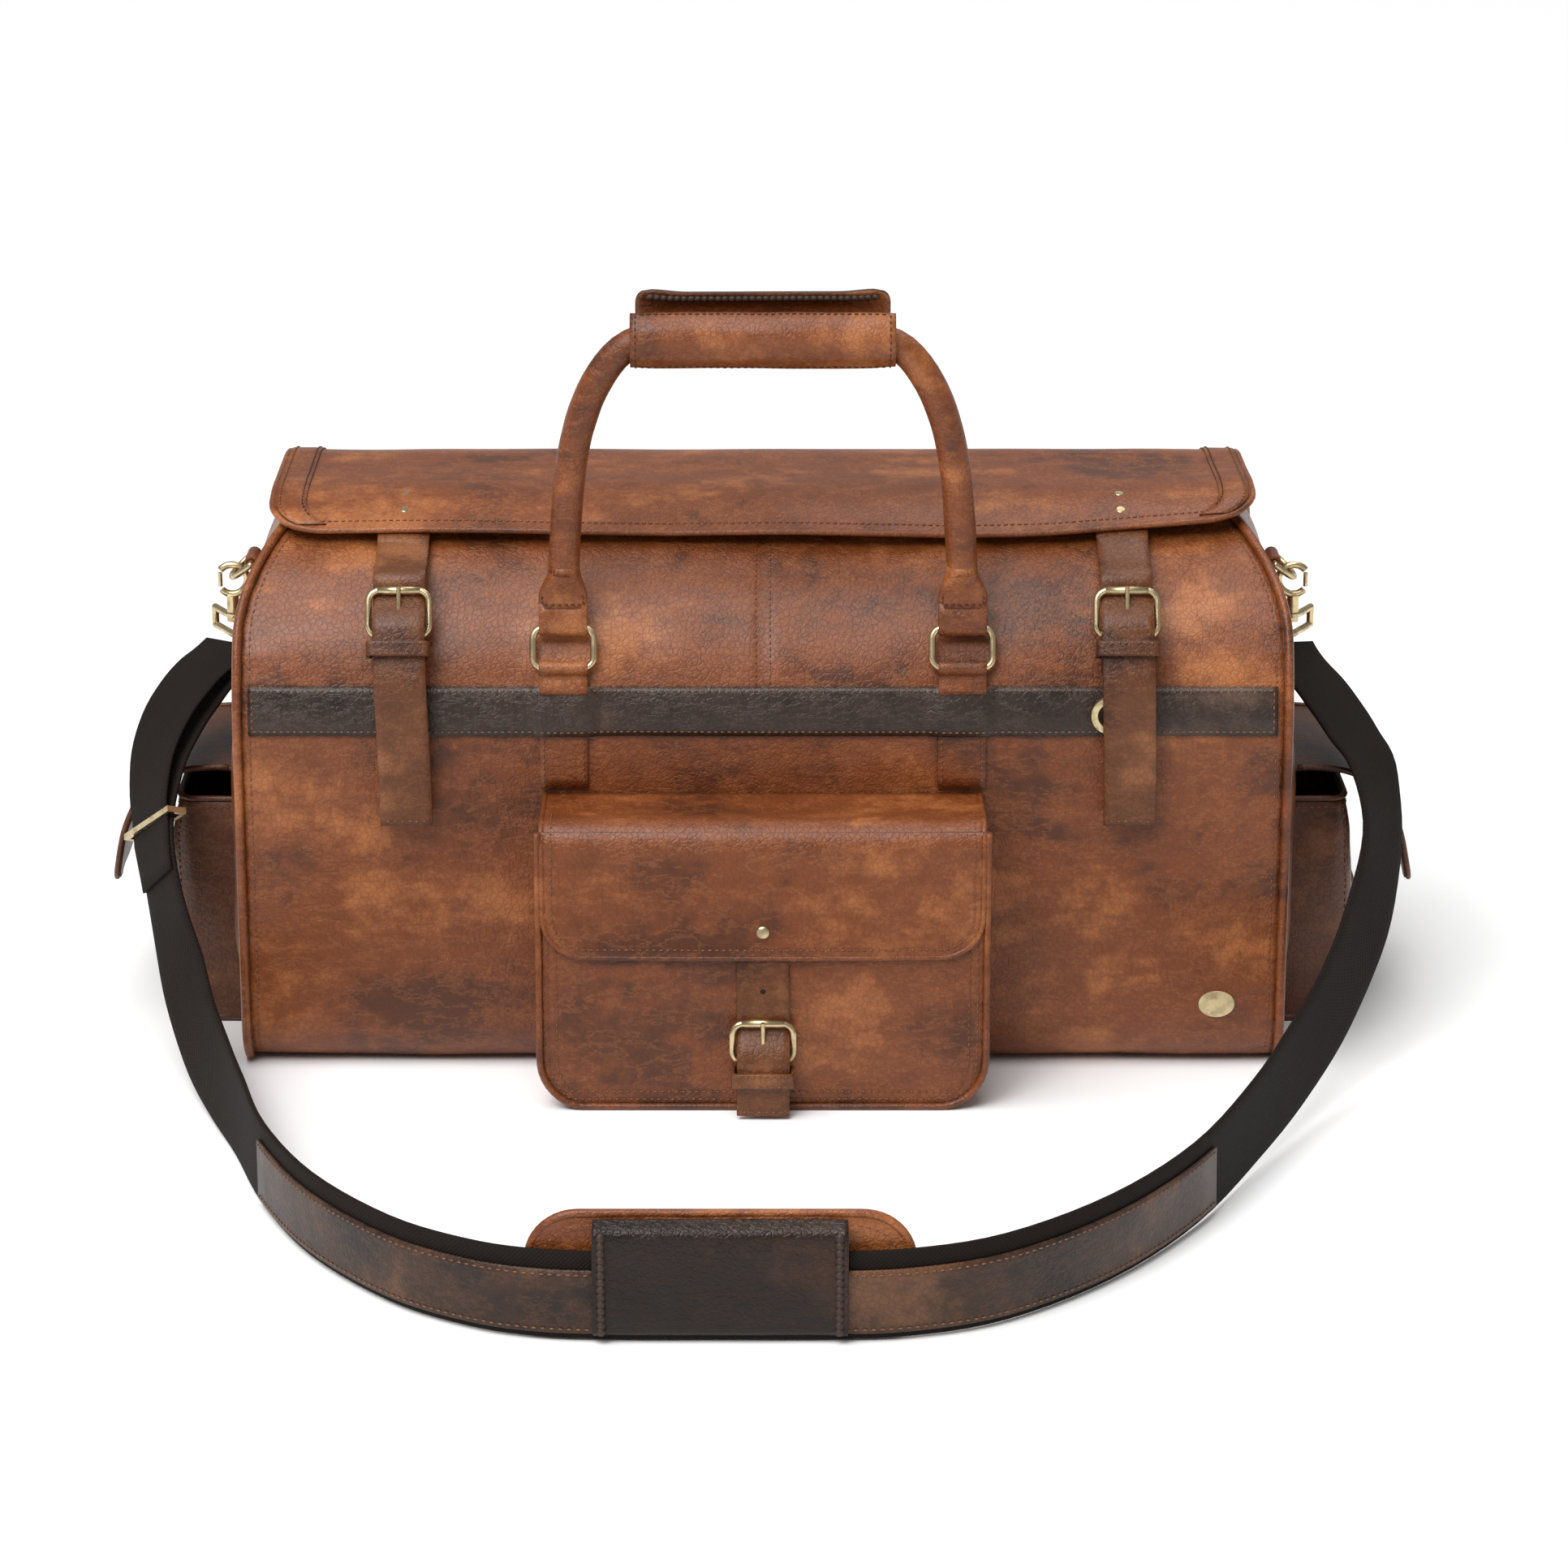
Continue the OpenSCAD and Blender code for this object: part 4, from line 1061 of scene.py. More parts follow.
@dataclass
class TopFlap:
    """Leather flap over the zip, with its edge binding."""

    front: float = 73.9
    back: float = -103.5
    half: float = 238.0
    corner: float = 22.0

    def half_at(self, s: float) -> float:
        """Half length of the flap at a distance from its front edge."""
        into = s - (self.front - self.corner)
        return self.half - self.corner + math.sqrt(max(self.corner**2 - max(into, 0.0) ** 2, 0.0))

    def point(self, t: float, s: float, g: float = 0.0) -> Vector:
        """Point of the flap's outer face.

        Args:
            t: Share of the half length, from -1 to 1.
            s: Distance along the skin, negative at the back.
            g: Extra height.

        Returns:
            The point, in mm.
        """
        x = t * self.half_at(s)
        share = ease(s, -20, self.front)
        lifted = s - share * (5.5 * ease(x, 110, 236) - 1.2 * math.sin(x * 0.016 + 0.6) + 1.0 * ease(-x, 150, 236))
        wave = share * (1.1 * math.sin(x * 0.034 + 1.0) + 0.9 * rough(8, x * 0.02, s * 0.02) + 1.6 * ease(x, 190, 238))
        height = 8.5 + max(wave, -0.6) + g + 0.7 * rough(7, x * 0.02, s * 0.03) * ease(self.front - s, 0, 25)
        height += 2.0 * ease(s, 10, 60) * (1 - ease(s, 60, 74)) * 0.3
        y, z = section(abs(lifted), height)
        sag = -0.2 * (0.5 + 0.5 * rough(9, x * 0.012)) * math.exp(-((s / 40) ** 2))
        return Vector((x, y if lifted > 0 else -y, z + sag))

    def build(self) -> None:
        """Build the flap, its binding, its end bands and its sewing."""
        piece = Piece("flap_skin", Finish.TAN, Finish.EDGE)
        ss = spread(self.front, self.front - self.corner, 14) + spread(self.front - self.corner, self.back, 46)[1:]
        piece.sheet(lambda t, s: self.point(t / self.half, s), [self.half * t for t in spread(-1, 1, 150)], ss)
        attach(piece.finish(2.2, 1, replaces=["top_flap", "strap_heads"]), "top_flap")
        binding = Piece("flap_binding", Finish.TAN, Finish.THREAD)
        down = [self.point(-1, s, -1.0) for s in spread(self.back, self.front, 60)]
        across = [self.point(t, self.front, -1.0) for t in spread(-1, 1, 90)][1:-1]
        edge = down + across + [self.point(1, s, -1.0) for s in spread(self.front, self.back, 60)]
        binding.rod(resample(edge, 4.0), 1.55, (0.3, 0.4, 0.86), 8)
        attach(binding.finish(), "top_flap")
        bands = Piece("flap_end_bands", Finish.TAN, Finish.EDGE, Finish.DARK_THREAD)
        for end in (-1, 1):
            bands.sheet(lambda t, s: self.point(end * t / 1000, s, 0.9), spread(930, 993, 3) if end > 0 else
                        spread(993, 930, 3), spread(self.front - 2.5, self.back + 2, 60))
        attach(bands.finish(0.9, 1, outward=False), "top_flap")
        sewing = Piece("flap_sewing", Finish.THREAD, Finish.DARK_THREAD)
        out = self.out
        sewing.stitches([self.point(t, self.front - 5, 0.1) for t in spread(-0.93, 0.93, 120)], out, 3.3)
        sewing.stitches([self.point(t, self.back + 4, 0.1) for t in spread(-0.97, 0.97, 60)], out, 3.6)
        for end in (-1, 1):
            for t in (0.938, 0.985):
                sewing.stitches([self.point(end * t, s, 1.0) for s in spread(self.front - 8, self.back + 4, 60)], out,
                                3.3, int(t < 0.95))
        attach(sewing.finish(), "top_flap")
        dress("flap_rivets", Finish.BRASS)

    @staticmethod
    def out(at: Vector) -> Vector:
        """Outward direction of the flap near a point."""
        return Vector((0, at.y - math.copysign(min(abs(at.y), TOP_FLAT), at.y), at.z - ARC_Z)).normalized()


@dataclass
class BuckleFrame:
    """Directions of one buckle: across, outward and along its strap."""

    x: float
    y: float
    z: float
    tilt: float
    height: float
    side: int = 1

    def at(self, across: float, depth: float, up: float) -> Vector:
        """Point in the buckle's own directions.

        Args:
            across: Place across the strap.
            depth: Depth behind the bars.
            up: Height above the upper bar.

        Returns:
            The point, in mm.
        """
        turn = math.radians(self.tilt)
        return Vector((self.x + across, self.y + depth * math.cos(turn) + up * math.sin(turn),
                       self.z - depth * math.sin(turn) + up * math.cos(turn)))

    def wire(self, node: str, body: str) -> None:
        """Brass frame with rounded corners, in place of a CAD buckle.

        Args:
            node: The CAD node it replaces.
            body: The body that it rides on.
        """
        piece = Piece(f"{node}_frame", Finish.BRASS)
        loop = [self.at(a, 0, b - self.height) for a, b in ring_path(29, self.height, 5.5, 6)]
        piece.rod(loop, 1.65, self.at(0, 1, 0) - self.at(0, 0, 0), 12, closed=True)
        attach(piece.finish(replaces=[node]), body)

    def leather(self, name: str, width: float, keeper: float = 3.0) -> Piece:
        """Folded chape and keeper loop.

        Args:
            name: Name of the piece.
            width: Width of the strap.
            keeper: How far the keeper sits below the lower bar.

        Returns:
            The piece, not finished yet.
        """
        piece = Piece(name, Finish.STRAP, Finish.EDGE, Finish.THREAD)
        low, roll = -self.height, 2.65
        fold = [self.at(0, -roll * math.cos(a), low + roll * math.sin(a)) for a in spread(0.0, math.pi, 8)]
        path = [self.at(0, -2.2, low - 17), self.at(0, -2.4, low - 6)] + fold
        path += [self.at(0, 2.0, low - 6), self.at(0, 2.0, low - 17)]
        piece.strip(path, [Vector((1, 0, 0))] * len(path), strap_outline(width - 0.5, 1.7))
        loop = [self.at(a, b - 9.4, low - keeper - 3.6) for a, b in ring_path(width + 3.4, 12.6, 2.2, 4)]
        side = self.at(0, 0, 1) - self.at(0, 0, 0)
        piece.strip(loop, [side] * len(loop), strap_outline(7.2, 1.7), closed=True)
        front = [self.at(a, -10.3, low - keeper - 3.6) for a in spread(-width / 2, width / 2, 8)]
        outward = self.at(0, -1, 0) - self.at(0, 0, 0)
        for up in (-2.5, 2.5):
            piece.stitches([p + side * up for p in front], outward, 3.0, 2, 0.7)
        return piece


@dataclass
class FlapStrap:
    """Closing strap with its buckle, keeper and clip, and flat near-black discs painted as the shade inside punched
    holes.
    """

    name: str
    x: float
    skew: float

    def build(self) -> None:
        """Build the strap and dress its brass."""
        frame_at = BuckleFrame(self.x, -113.0, 238.0, 22.0, 22.0)
        under = [section(s, 4.7) for s in (52, 60, 68, 76)]
        bends = [(-80.5, 250.8), (-94.0, 246.6)]
        local = [frame_at.at(0, d, u) for d, u in ((2.9, 7.0), (2.9, -2.5), (-4.9, -15.0), (-5.6, -24.0), (-5.6, -33.0))]
        tail = [(-135.0, 196.0), (-135.6, 176.0), (-136.1, 150.0), (-136.4, 128.5)]
        line = [(y, z) for y, z in under + bends] + [(p.y, p.z) for p in local] + tail
        path = smooth([(self.lean(z), y, z) for y, z in line], 5)
        side = Vector((1, 0, 0))
        body = f"strap_{self.name}"
        piece = Piece(f"closing_strap_{self.name}", Finish.STRAP, Finish.EDGE, Finish.THREAD, Finish.HOLE)
        piece.strip(path, [side] * len(path), strap_outline(25, 2.0, 0.35))
        low = [p for p in path if p.z < 247 and p.y < -92]
        seam_rows(piece, low, side, (-10.4, 10.4), -1.25, 2)
        end = low[-1]
        piece.stitches([end + Vector((a, -1.25, 2.2)) for a in spread(-10.4, 10.4, 6)], (0, -1, 0), 3.2, 2)
        # Flat near-black domes stand in for punched holes: painted shade, not openings.
        for z in (195.0, 174.0):
            near = min(low, key=lambda p: abs(p.z - z))
            piece.dome(Vector((near.x, near.y - 1.05, z)), Vector((0, -1, 0)), 1.5, 0.25, 3)
        made = piece.finish(replaces=[f"flap_strap_{self.name}"])
        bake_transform(made)
        chape = frame_at.leather(f"keeper_{self.name}", 25.0)
        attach(chape.finish(replaces=[f"chape_{self.name}"]), body)
        roller = Piece(f"roller_{self.name}", Finish.BRASS)
        roller.rod([frame_at.at(-10.2, 0, 0), frame_at.at(10.2, 0, 0)], 2.05, (0, 0, 1), 16)
        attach(roller.finish(), body)
        frame_at.wire(f"buckle_{self.name}", body)
        for node in ("prong", "clip"):
            dress(f"{node}_{self.name}", Finish.BRASS)

    def lean(self, z: float) -> float:
        """Place of the strap along the bag, leaning a little towards its tail."""
        return self.x + self.skew * (1 - ease(z, 128, 240))


# ---------------------------------------------------------------- handles

@dataclass
class Handle:
    """Rolled leather handle on its two rings."""

    name: str
    y: float
    z: float
    up: int
    rise: float = 141.0

    def at(self, x: float, depth: float, height: float) -> Vector:
        """Point of the handle, by height from its ring bars."""
        return Vector((x, self.y + depth * self.up, self.z + height * self.up))

    def build(self) -> None:
        """Build the roll, its ends and, at the front, the grip."""
        body = f"handle_{self.name}"
        piece = Piece(f"roll_{self.name}", Finish.TAN, Finish.EDGE, Finish.DARK_THREAD)
        right = [(94.5, 27), (93.8, 40), (92.6, 58), (90.6, 78), (86.6, 98), (79.5, 117), (68.5, 133), (56.0, 140)]
        right += [(40.0, self.rise), (20.0, self.rise)]
        line = [(x, h) for x, h in right] + [(-x, h) for x, h in reversed(right)]
        path = [self.at(x, 0.5 * rough(6, x * 0.03, h * 0.03), h) for x, h in line]
        path = resample(smooth(path, 4), 5.0)
        rings = []
        for i, point in enumerate(path):
            run = (path[min(i + 1, len(path) - 1)] - path[max(i - 1, 0)]).normalized()
            side = Vector((0, 1, 0))
            out = run.cross(side).normalized()
            size = 7.4 + 0.25 * rough(11, i * 0.4)
            rings.append([point + side * (size * a) + out * (size * b) for a, b in round_outline(1, 1, 20)])
        piece.loft(rings)
        for end in (-1, 1):
            self.tab(piece, end)
        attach(piece.finish(replaces=[f"handle_{self.name}"]), body)
        self.rings()
        if self.up > 0:
            self.grip(body)

    def rings(self) -> None:
        """Brass rings with rounded corners that join the handle to its tabs."""
        away, fall = (0.309, 0.951) if self.up > 0 else (0.766, -0.643)
        piece = Piece(f"rings_{self.name}_wire", Finish.BRASS)
        for end in (-1, 1):
            loop = [Vector((end * LEG_X + a, self.y - away * (19 - b), self.z - fall * (19 - b)))
                    for a, b in ring_path(29, 19, 5.0, 6)]
            piece.rod(loop, 1.7, Vector((0, -fall, away)), 12, closed=True)
        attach(piece.finish(replaces=[f"rings_{self.name}"]), f"rings_{self.name}")

    def tab(self, piece: Piece, end: int) -> None:
        """Flared end folded over the ring's bar.

        Args:
            piece: The piece that it is added to.
            end: -1 for the left leg, 1 for the right.
        """
        x = end * LEG_X
        roll = 2.75
        fold = [(-roll * math.cos(a), -roll * math.sin(a)) for a in spread(0, math.pi, 8)]
        line = [(-2.0, 13.0), (-2.3, 6.0)] + fold + [(2.3, 6.0), (2.0, 13.0)]
        path = [self.at(x, d, h) for d, h in line]
        piece.strip(path, [Vector((1, 0, 0))] * len(path), strap_outline(23, 1.8))
        rings = []
        for share in spread(0, 1, 9):
            h = lerp(10.5, 31, share)
            soft = ease(share, 0.25, 0.95)
            wide, deep = lerp(11.6, 7.4, soft), lerp(3.3, 7.4, soft)
            power = lerp(0.45, 1.0, soft)
            middle = x - end * 0.8 * soft
            rings.append([self.at(middle + wide * math.copysign(abs(math.cos(a)) ** power, math.cos(a)),
                                  deep * math.copysign(abs(math.sin(a)) ** power, math.sin(a)), h)
                          for a in spread(0, 2 * math.pi, 24)[:-1]])
        piece.loft(rings)
        face = (0, -1, 0) if self.up > 0 else (0, 1, 0)
        row = [self.at(x + a, -3.5, 12.4) for a in spread(-9.6, 9.6, 6)]
        piece.stitches(row, face, 3.0, 2, 0.9)
        for edge in (-9.8, 9.8):
            piece.stitches([self.at(x + edge, -3.45, h) for h in (12.4, 17.0)], face, 2.6, 2, 0.8)

    def grip(self, body: str) -> None:
        """Leather wrap of the front handle and its loose upper leaf.

        Args:
            body: The body that it rides on.
        """
        wrap = Piece("grip_leather", Finish.TAN, Finish.EDGE, Finish.DARK_THREAD)

        def place(x: float, angle: float) -> Vector:
            """Point of the wrap's outer face."""
            a = math.radians(angle / 4)
            radius = 14.3 + 0.5 * rough(12, x * 0.04, angle * 0.01) - 0.5 * ease(abs(x), 50, 62)
            tall = 1.0 if math.sin(a) < 0 else 1.04
            return self.at(x, -radius * math.cos(a), self.rise + radius * math.sin(a) * tall)

        wrap.sheet(place, spread(-62, 62, 44), [4 * a for a in spread(64, -155, 34)])
        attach(wrap.finish(1.5, 1, outward=True, replaces=["grip_wrap"]), body)
        sewing = Piece("grip_sewing", Finish.DARK_THREAD)
        lift = lambda p: Vector((0, p.y - self.y, p.z - self.z - self.rise)).normalized()
        for x in (-59.5, 59.5):
            sewing.stitches([place(x, 4 * a) + lift(place(x, 4 * a)) * 0.1 for a in spread(60, -150, 28)], lift, 3.2)
        for a in (59, -62):
            sewing.stitches([place(x, 4 * a) + lift(place(x, 4 * a)) * 0.1 for x in spread(-58, 58, 30)], lift, 3.2)
        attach(sewing.finish(), body)
        leaf = Piece("grip_leaf", Finish.TAN, Finish.EDGE, Finish.DARK_THREAD)
        side_line = smooth([(12.3, self.rise - 5), (14.2, self.rise + 3), (13.6, self.rise + 12), (9.6, self.rise + 19)], 5)

        def leaf_at(x: float, k: float) -> Vector:
            """Point of the leaf, with rounded upper corners."""
            i = k / 100 * (len(side_line) - 1)
            low, high = side_line[int(i)], side_line[min(int(i) + 1, len(side_line) - 1)]
            spot = Vector(low).lerp(Vector(high), i - int(i))
            half = 60 - 8 * (1 - math.sqrt(max(1 - max((k - 68) / 32, 0) ** 2, 0)))
            curl = 1.3 * ease(abs(x), 40, 60) * (k / 100)
            return self.at(x / 60 * half, spot.x + 0.6 * math.sin(x * 0.05) * k / 100, spot.y + curl)

        leaf.sheet(leaf_at, spread(-60, 60, 36), spread(0, 100, 14))
        leaf.stitches([leaf_at(x, 82) + Vector((0, -0.9, 0.5)) for x in spread(-55, 55, 24)], (0, -0.8, 0.6), 3.2, 2)
        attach(leaf.finish(1.4, 1, replaces=["grip_flap"]), "grip_flap")


# ---------------------------------------------------------------- pockets

@dataclass
class FrontPocket:
    """Front pocket with its flap, strap and buckle."""

    half: float = 106.0
    low: float = 1.0
    high: float = 138.6
    corner: float = 24.0
    back: float = -125.0
    front: float = -179.0

    def half_at(self, z: float) -> float:
        """Half width of the pocket at a height."""
        into = max(self.corner - (z - self.low), 0.0)
        return self.half - self.corner + math.sqrt(max(self.corner**2 - into**2, 0.0))

    def face(self, x: float, z: float, g: float = 0.0) -> Vector:
        """Point of the front face, x given for the pocket's full width."""
        t = x / self.half
        tall = (z - self.low) / (self.high - self.low)
        swell = 2.2 * (1 - t * t) * math.sin(math.pi * min(max(tall, 0), 1)) ** 0.7
        ripple = 0.8 * rough(21, x * 0.022, z * 0.028) + 0.3 * rough(22, x * 0.07, z * 0.07)
        free = 1 - 0.85 * ease(abs(x), 86, 104)
        return Vector((t * self.half_at(z), self.front - (swell + ripple) * free * 0.75 - g, z))

    def build(self) -> None:
        """Build the pocket, its piping and sewing, and its flap."""
        zs = [self.low + self.corner * (1 - math.cos(a)) for a in spread(0, math.pi / 2, 12)]
        zs += spread(self.low + self.corner, self.high, 34)[1:]
        front = Piece("pocket_face", Finish.TAN, Finish.EDGE)
        front.sheet(lambda x, z: self.face(x, z), spread(-self.half, self.half, 64), zs)
        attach(front.finish(1.6, 1, replaces=["front_pocket"]), "bag")
        outline = [Vector((-self.half, 0, self.high))]
        outline += [Vector((-self.half_at(z), 0, z)) for z in reversed(zs)]
        outline += [Vector((self.half_at(z), 0, z)) for z in zs] + [Vector((self.half, 0, self.high))]
        outline = resample(outline, 4.0)
        wall = Piece("pocket_wall", Finish.TAN, Finish.EDGE)

        def side(k: float, depth: float) -> Vector:
            """Point of the gusset between the pocket's face and the bag."""
            p = outline[round(k)]
            share = (depth - self.back) / (self.front - self.back)
            pull = 2.5 * math.sin(math.pi * share) * (0.7 + 0.3 * rough(23, k * 0.2)) * ease(p.z, 4, 40)
            inward = Vector((-math.copysign(1, p.x), 0, 0)) * pull
            y = depth + (0.0 if share < 1 else 0.0)
            return Vector((p.x, y, max(p.z, 0.9))) + inward

        wall.sheet(side, list(range(len(outline))), spread(self.back, self.front - 0.2, 10))
        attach(wall.finish(1.6, 1), "bag")
        edge = [Vector((p.x, self.front - 1.0, max(p.z, 1.6))) for p in outline]
        piping = Piece("pocket_piping", Finish.TAN)
        piping.rod(edge, 1.7, (0, 1, 0), 8)
        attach(piping.finish(), "bag")
        sewing = Piece("pocket_sewing", Finish.THREAD)
        for inset in (4.2, 8.2):
            scale_x = (self.half - inset) / self.half
            row = []
            for p in outline:
                if p.z > 128:
                    continue
                z = lerp(p.z, self.low + (self.high - self.low) * 0.5, inset / 70)
                row.append(self.face(p.x / max(self.half_at(p.z), 1) * self.half * scale_x, z, 0.15))
            sewing.stitches(row, (0, -1, 0), 3.3, 0)
        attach(sewing.finish(), "bag")
        self.flap()
        self.strap()

    def flap_point(self, x: float, q: float, g: float = 0.0) -> Vector:
        """Point of the flap's outer face.

        Args:
            x: Place across, for the flap's full width.
            q: Distance from the hinge, over the bend and down the front.
            g: Extra height.

        Returns:
            The point, in mm.
        """
        run, bend, drop, half, corner = 43.6, 12.0, 52.0, 104.0, 20.0
        arc = bend * math.pi / 2
        total = run + arc + drop
        into = max(q - (total - corner), 0.0)
        wide = half - corner + math.sqrt(max(corner**2 - into**2, 0.0))
        t = x / half
        ripple = 0.7 * rough(24, x * 0.02, q * 0.03) + 0.35 * rough(25, x * 0.06, q * 0.06)
        swell = g + (2.2 * (1 - t * t) * ease(q, 40, 80) + ripple * ease(q, 6, 30)) * 0.8
        if q < run:
            dip = 1.3 * math.sin(math.pi * min(q / run, 1)) * (1 - 0.3 * t * t)
            return Vector((t * wide, -125.9 - q, 141.3 + swell - dip + 1.2 * ease(q, 20, run)))
        if q < run + arc:
            turn = (q - run) / bend
            return Vector((t * wide, -169.5 - (bend + swell) * math.sin(turn),
                           129.3 + (bend + swell) * math.cos(turn) + 1.2 * math.cos(turn)))
        return Vector((t * wide, -181.5 - swell - 0.4 * ease(q, total - 14, total), 129.3 - (q - run - arc)))

    def flap(self) -> None:
        """Pocket flap with bound edge, stitches and press stud."""
        total = 43.6 + 12 * math.pi / 2 + 52.0
        corner = [total - 20 + 20 * math.sin(a) for a in spread(0, math.pi / 2, 12)]
        qs = spread(0, 43.6, 12) + spread(43.6, 62.45, 8)[1:] + spread(62.45, total - 20, 10)[1:] + corner[1:]
        piece = Piece("pocket_flap_skin", Finish.TAN, Finish.EDGE)
        piece.sheet(lambda x, q: self.flap_point(x, q), spread(-104, 104, 70), qs)
        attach(piece.finish(2.0, 1, outward=True, replaces=["pocket_flap"]), "pocket_flap")
        down = [self.flap_point(-104, q, -0.9) for q in qs]
        edge = down + [self.flap_point(x, total, -0.9) for x in spread(-104, 104, 50)][1:-1]
        edge += [self.flap_point(104, q, -0.9) for q in reversed(qs)]
        binding = Piece("pocket_flap_binding", Finish.TAN)
        binding.rod(resample(edge, 3.5), 1.5, (0.2, 0.5, 0.8), 8)
        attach(binding.finish(), "pocket_flap")
        sewing = Piece("pocket_flap_sewing", Finish.THREAD, Finish.BRASS)
        inset = 4.4
        row = [self.flap_point(-104 + inset, q, 0.15) for q in qs if 30 < q < total - 20]
        for a in spread(0, math.pi / 2, 10):
            row.append(self.stitch_corner(-1, a, inset, total))
        row += [self.flap_point(x, total - inset, 0.15) for x in spread(-80, 80, 30)]
        for a in reversed(spread(0, math.pi / 2, 10)):
            row.append(self.stitch_corner(1, a, inset, total))
        row += [self.flap_point(104 - inset, q, 0.15) for q in reversed(qs) if 30 < q < total - 20]
        sewing.stitches(row, lambda p: Vector((0, -1, 0)) if p.z < 129 else Vector((0, -0.7, 0.7)), 3.3)
        rivet = self.flap_point(0, 62.45 + 39, 0.2)
        sewing.dome(rivet, Vector((0, -1, 0)), 3.3, 1.3, 1)
        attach(sewing.finish(), "pocket_flap")

    def stitch_corner(self, end: int, angle: float, inset: float, total: float) -> Vector:
        """Point of the stitch row round a lower corner of the flap."""
        radius = 20 - inset
        x = end * (84 + radius * math.cos(angle))
        q = total - 20 + radius * math.sin(angle)
        into = max(q - (total - 20), 0.0)
        wide = 84 + math.sqrt(max(400 - into**2, 0.0))
        return self.flap_point(x / wide * 104, q, 0.15)

    def strap(self) -> None:
        """Strap that comes from under the flap into the pocket's buckle."""
        frame_at = BuckleFrame(0.0, -186.6, 46.0, 0.0, 19.0)
        line = [(-179.9, 96), (-180.2, 84), (-181.4, 74), (-182.8, 62)]
        line += [(p.y, p.z) for p in (frame_at.at(0, d, u) for d, u in
                 ((2.9, 7.0), (2.9, -2.5), (-4.2, -14.0), (-5.6, -22.0), (-5.6, -32.0)))]
        line += [(-192.4, 8.0), (-192.6, 1.9)]
        path = smooth([(0.3 * math.sin(z * 0.05), y, z) for y, z in line], 5)
        side = Vector((1, 0, 0))
        piece = Piece("pocket_strap_leather", Finish.STRAP, Finish.EDGE, Finish.THREAD, Finish.HOLE)
        piece.strip(path, [side] * len(path), strap_outline(25, 2.0, 0.35))
        low = [p for p in path if p.z < 84]
        seam_rows(piece, low, side, (-10.4, 10.4), -1.25, 2)
        piece.stitches([low[-1] + Vector((a, -1.25, 2.2)) for a in spread(-10.4, 10.4, 6)], (0, -1, 0), 3.2, 2)
        # A flat near-black dome stands in for a punched hole: painted shade, not an opening.
        piece.dome(Vector((0, min(low, key=lambda p: abs(p.z - 61)).y - 1.15, 61)), Vector((0, -1, 0)), 1.5, 0.3, 3)
        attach(piece.finish(replaces=["pocket_strap"]), "pocket_flap")
        keeper = frame_at.leather("pocket_keeper", 25.0)
        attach(keeper.finish(replaces=["pocket_chape"]), "pocket_flap")
        roller = Piece("pocket_roller", Finish.BRASS)
        roller.rod([frame_at.at(-10.2, 0, 0), frame_at.at(10.2, 0, 0)], 2.05, (0, 0, 1), 16)
        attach(roller.finish(), "pocket_flap")
        frame_at.wire("pocket_buckle", "pocket_flap")
        dress("pocket_prong", Finish.BRASS)


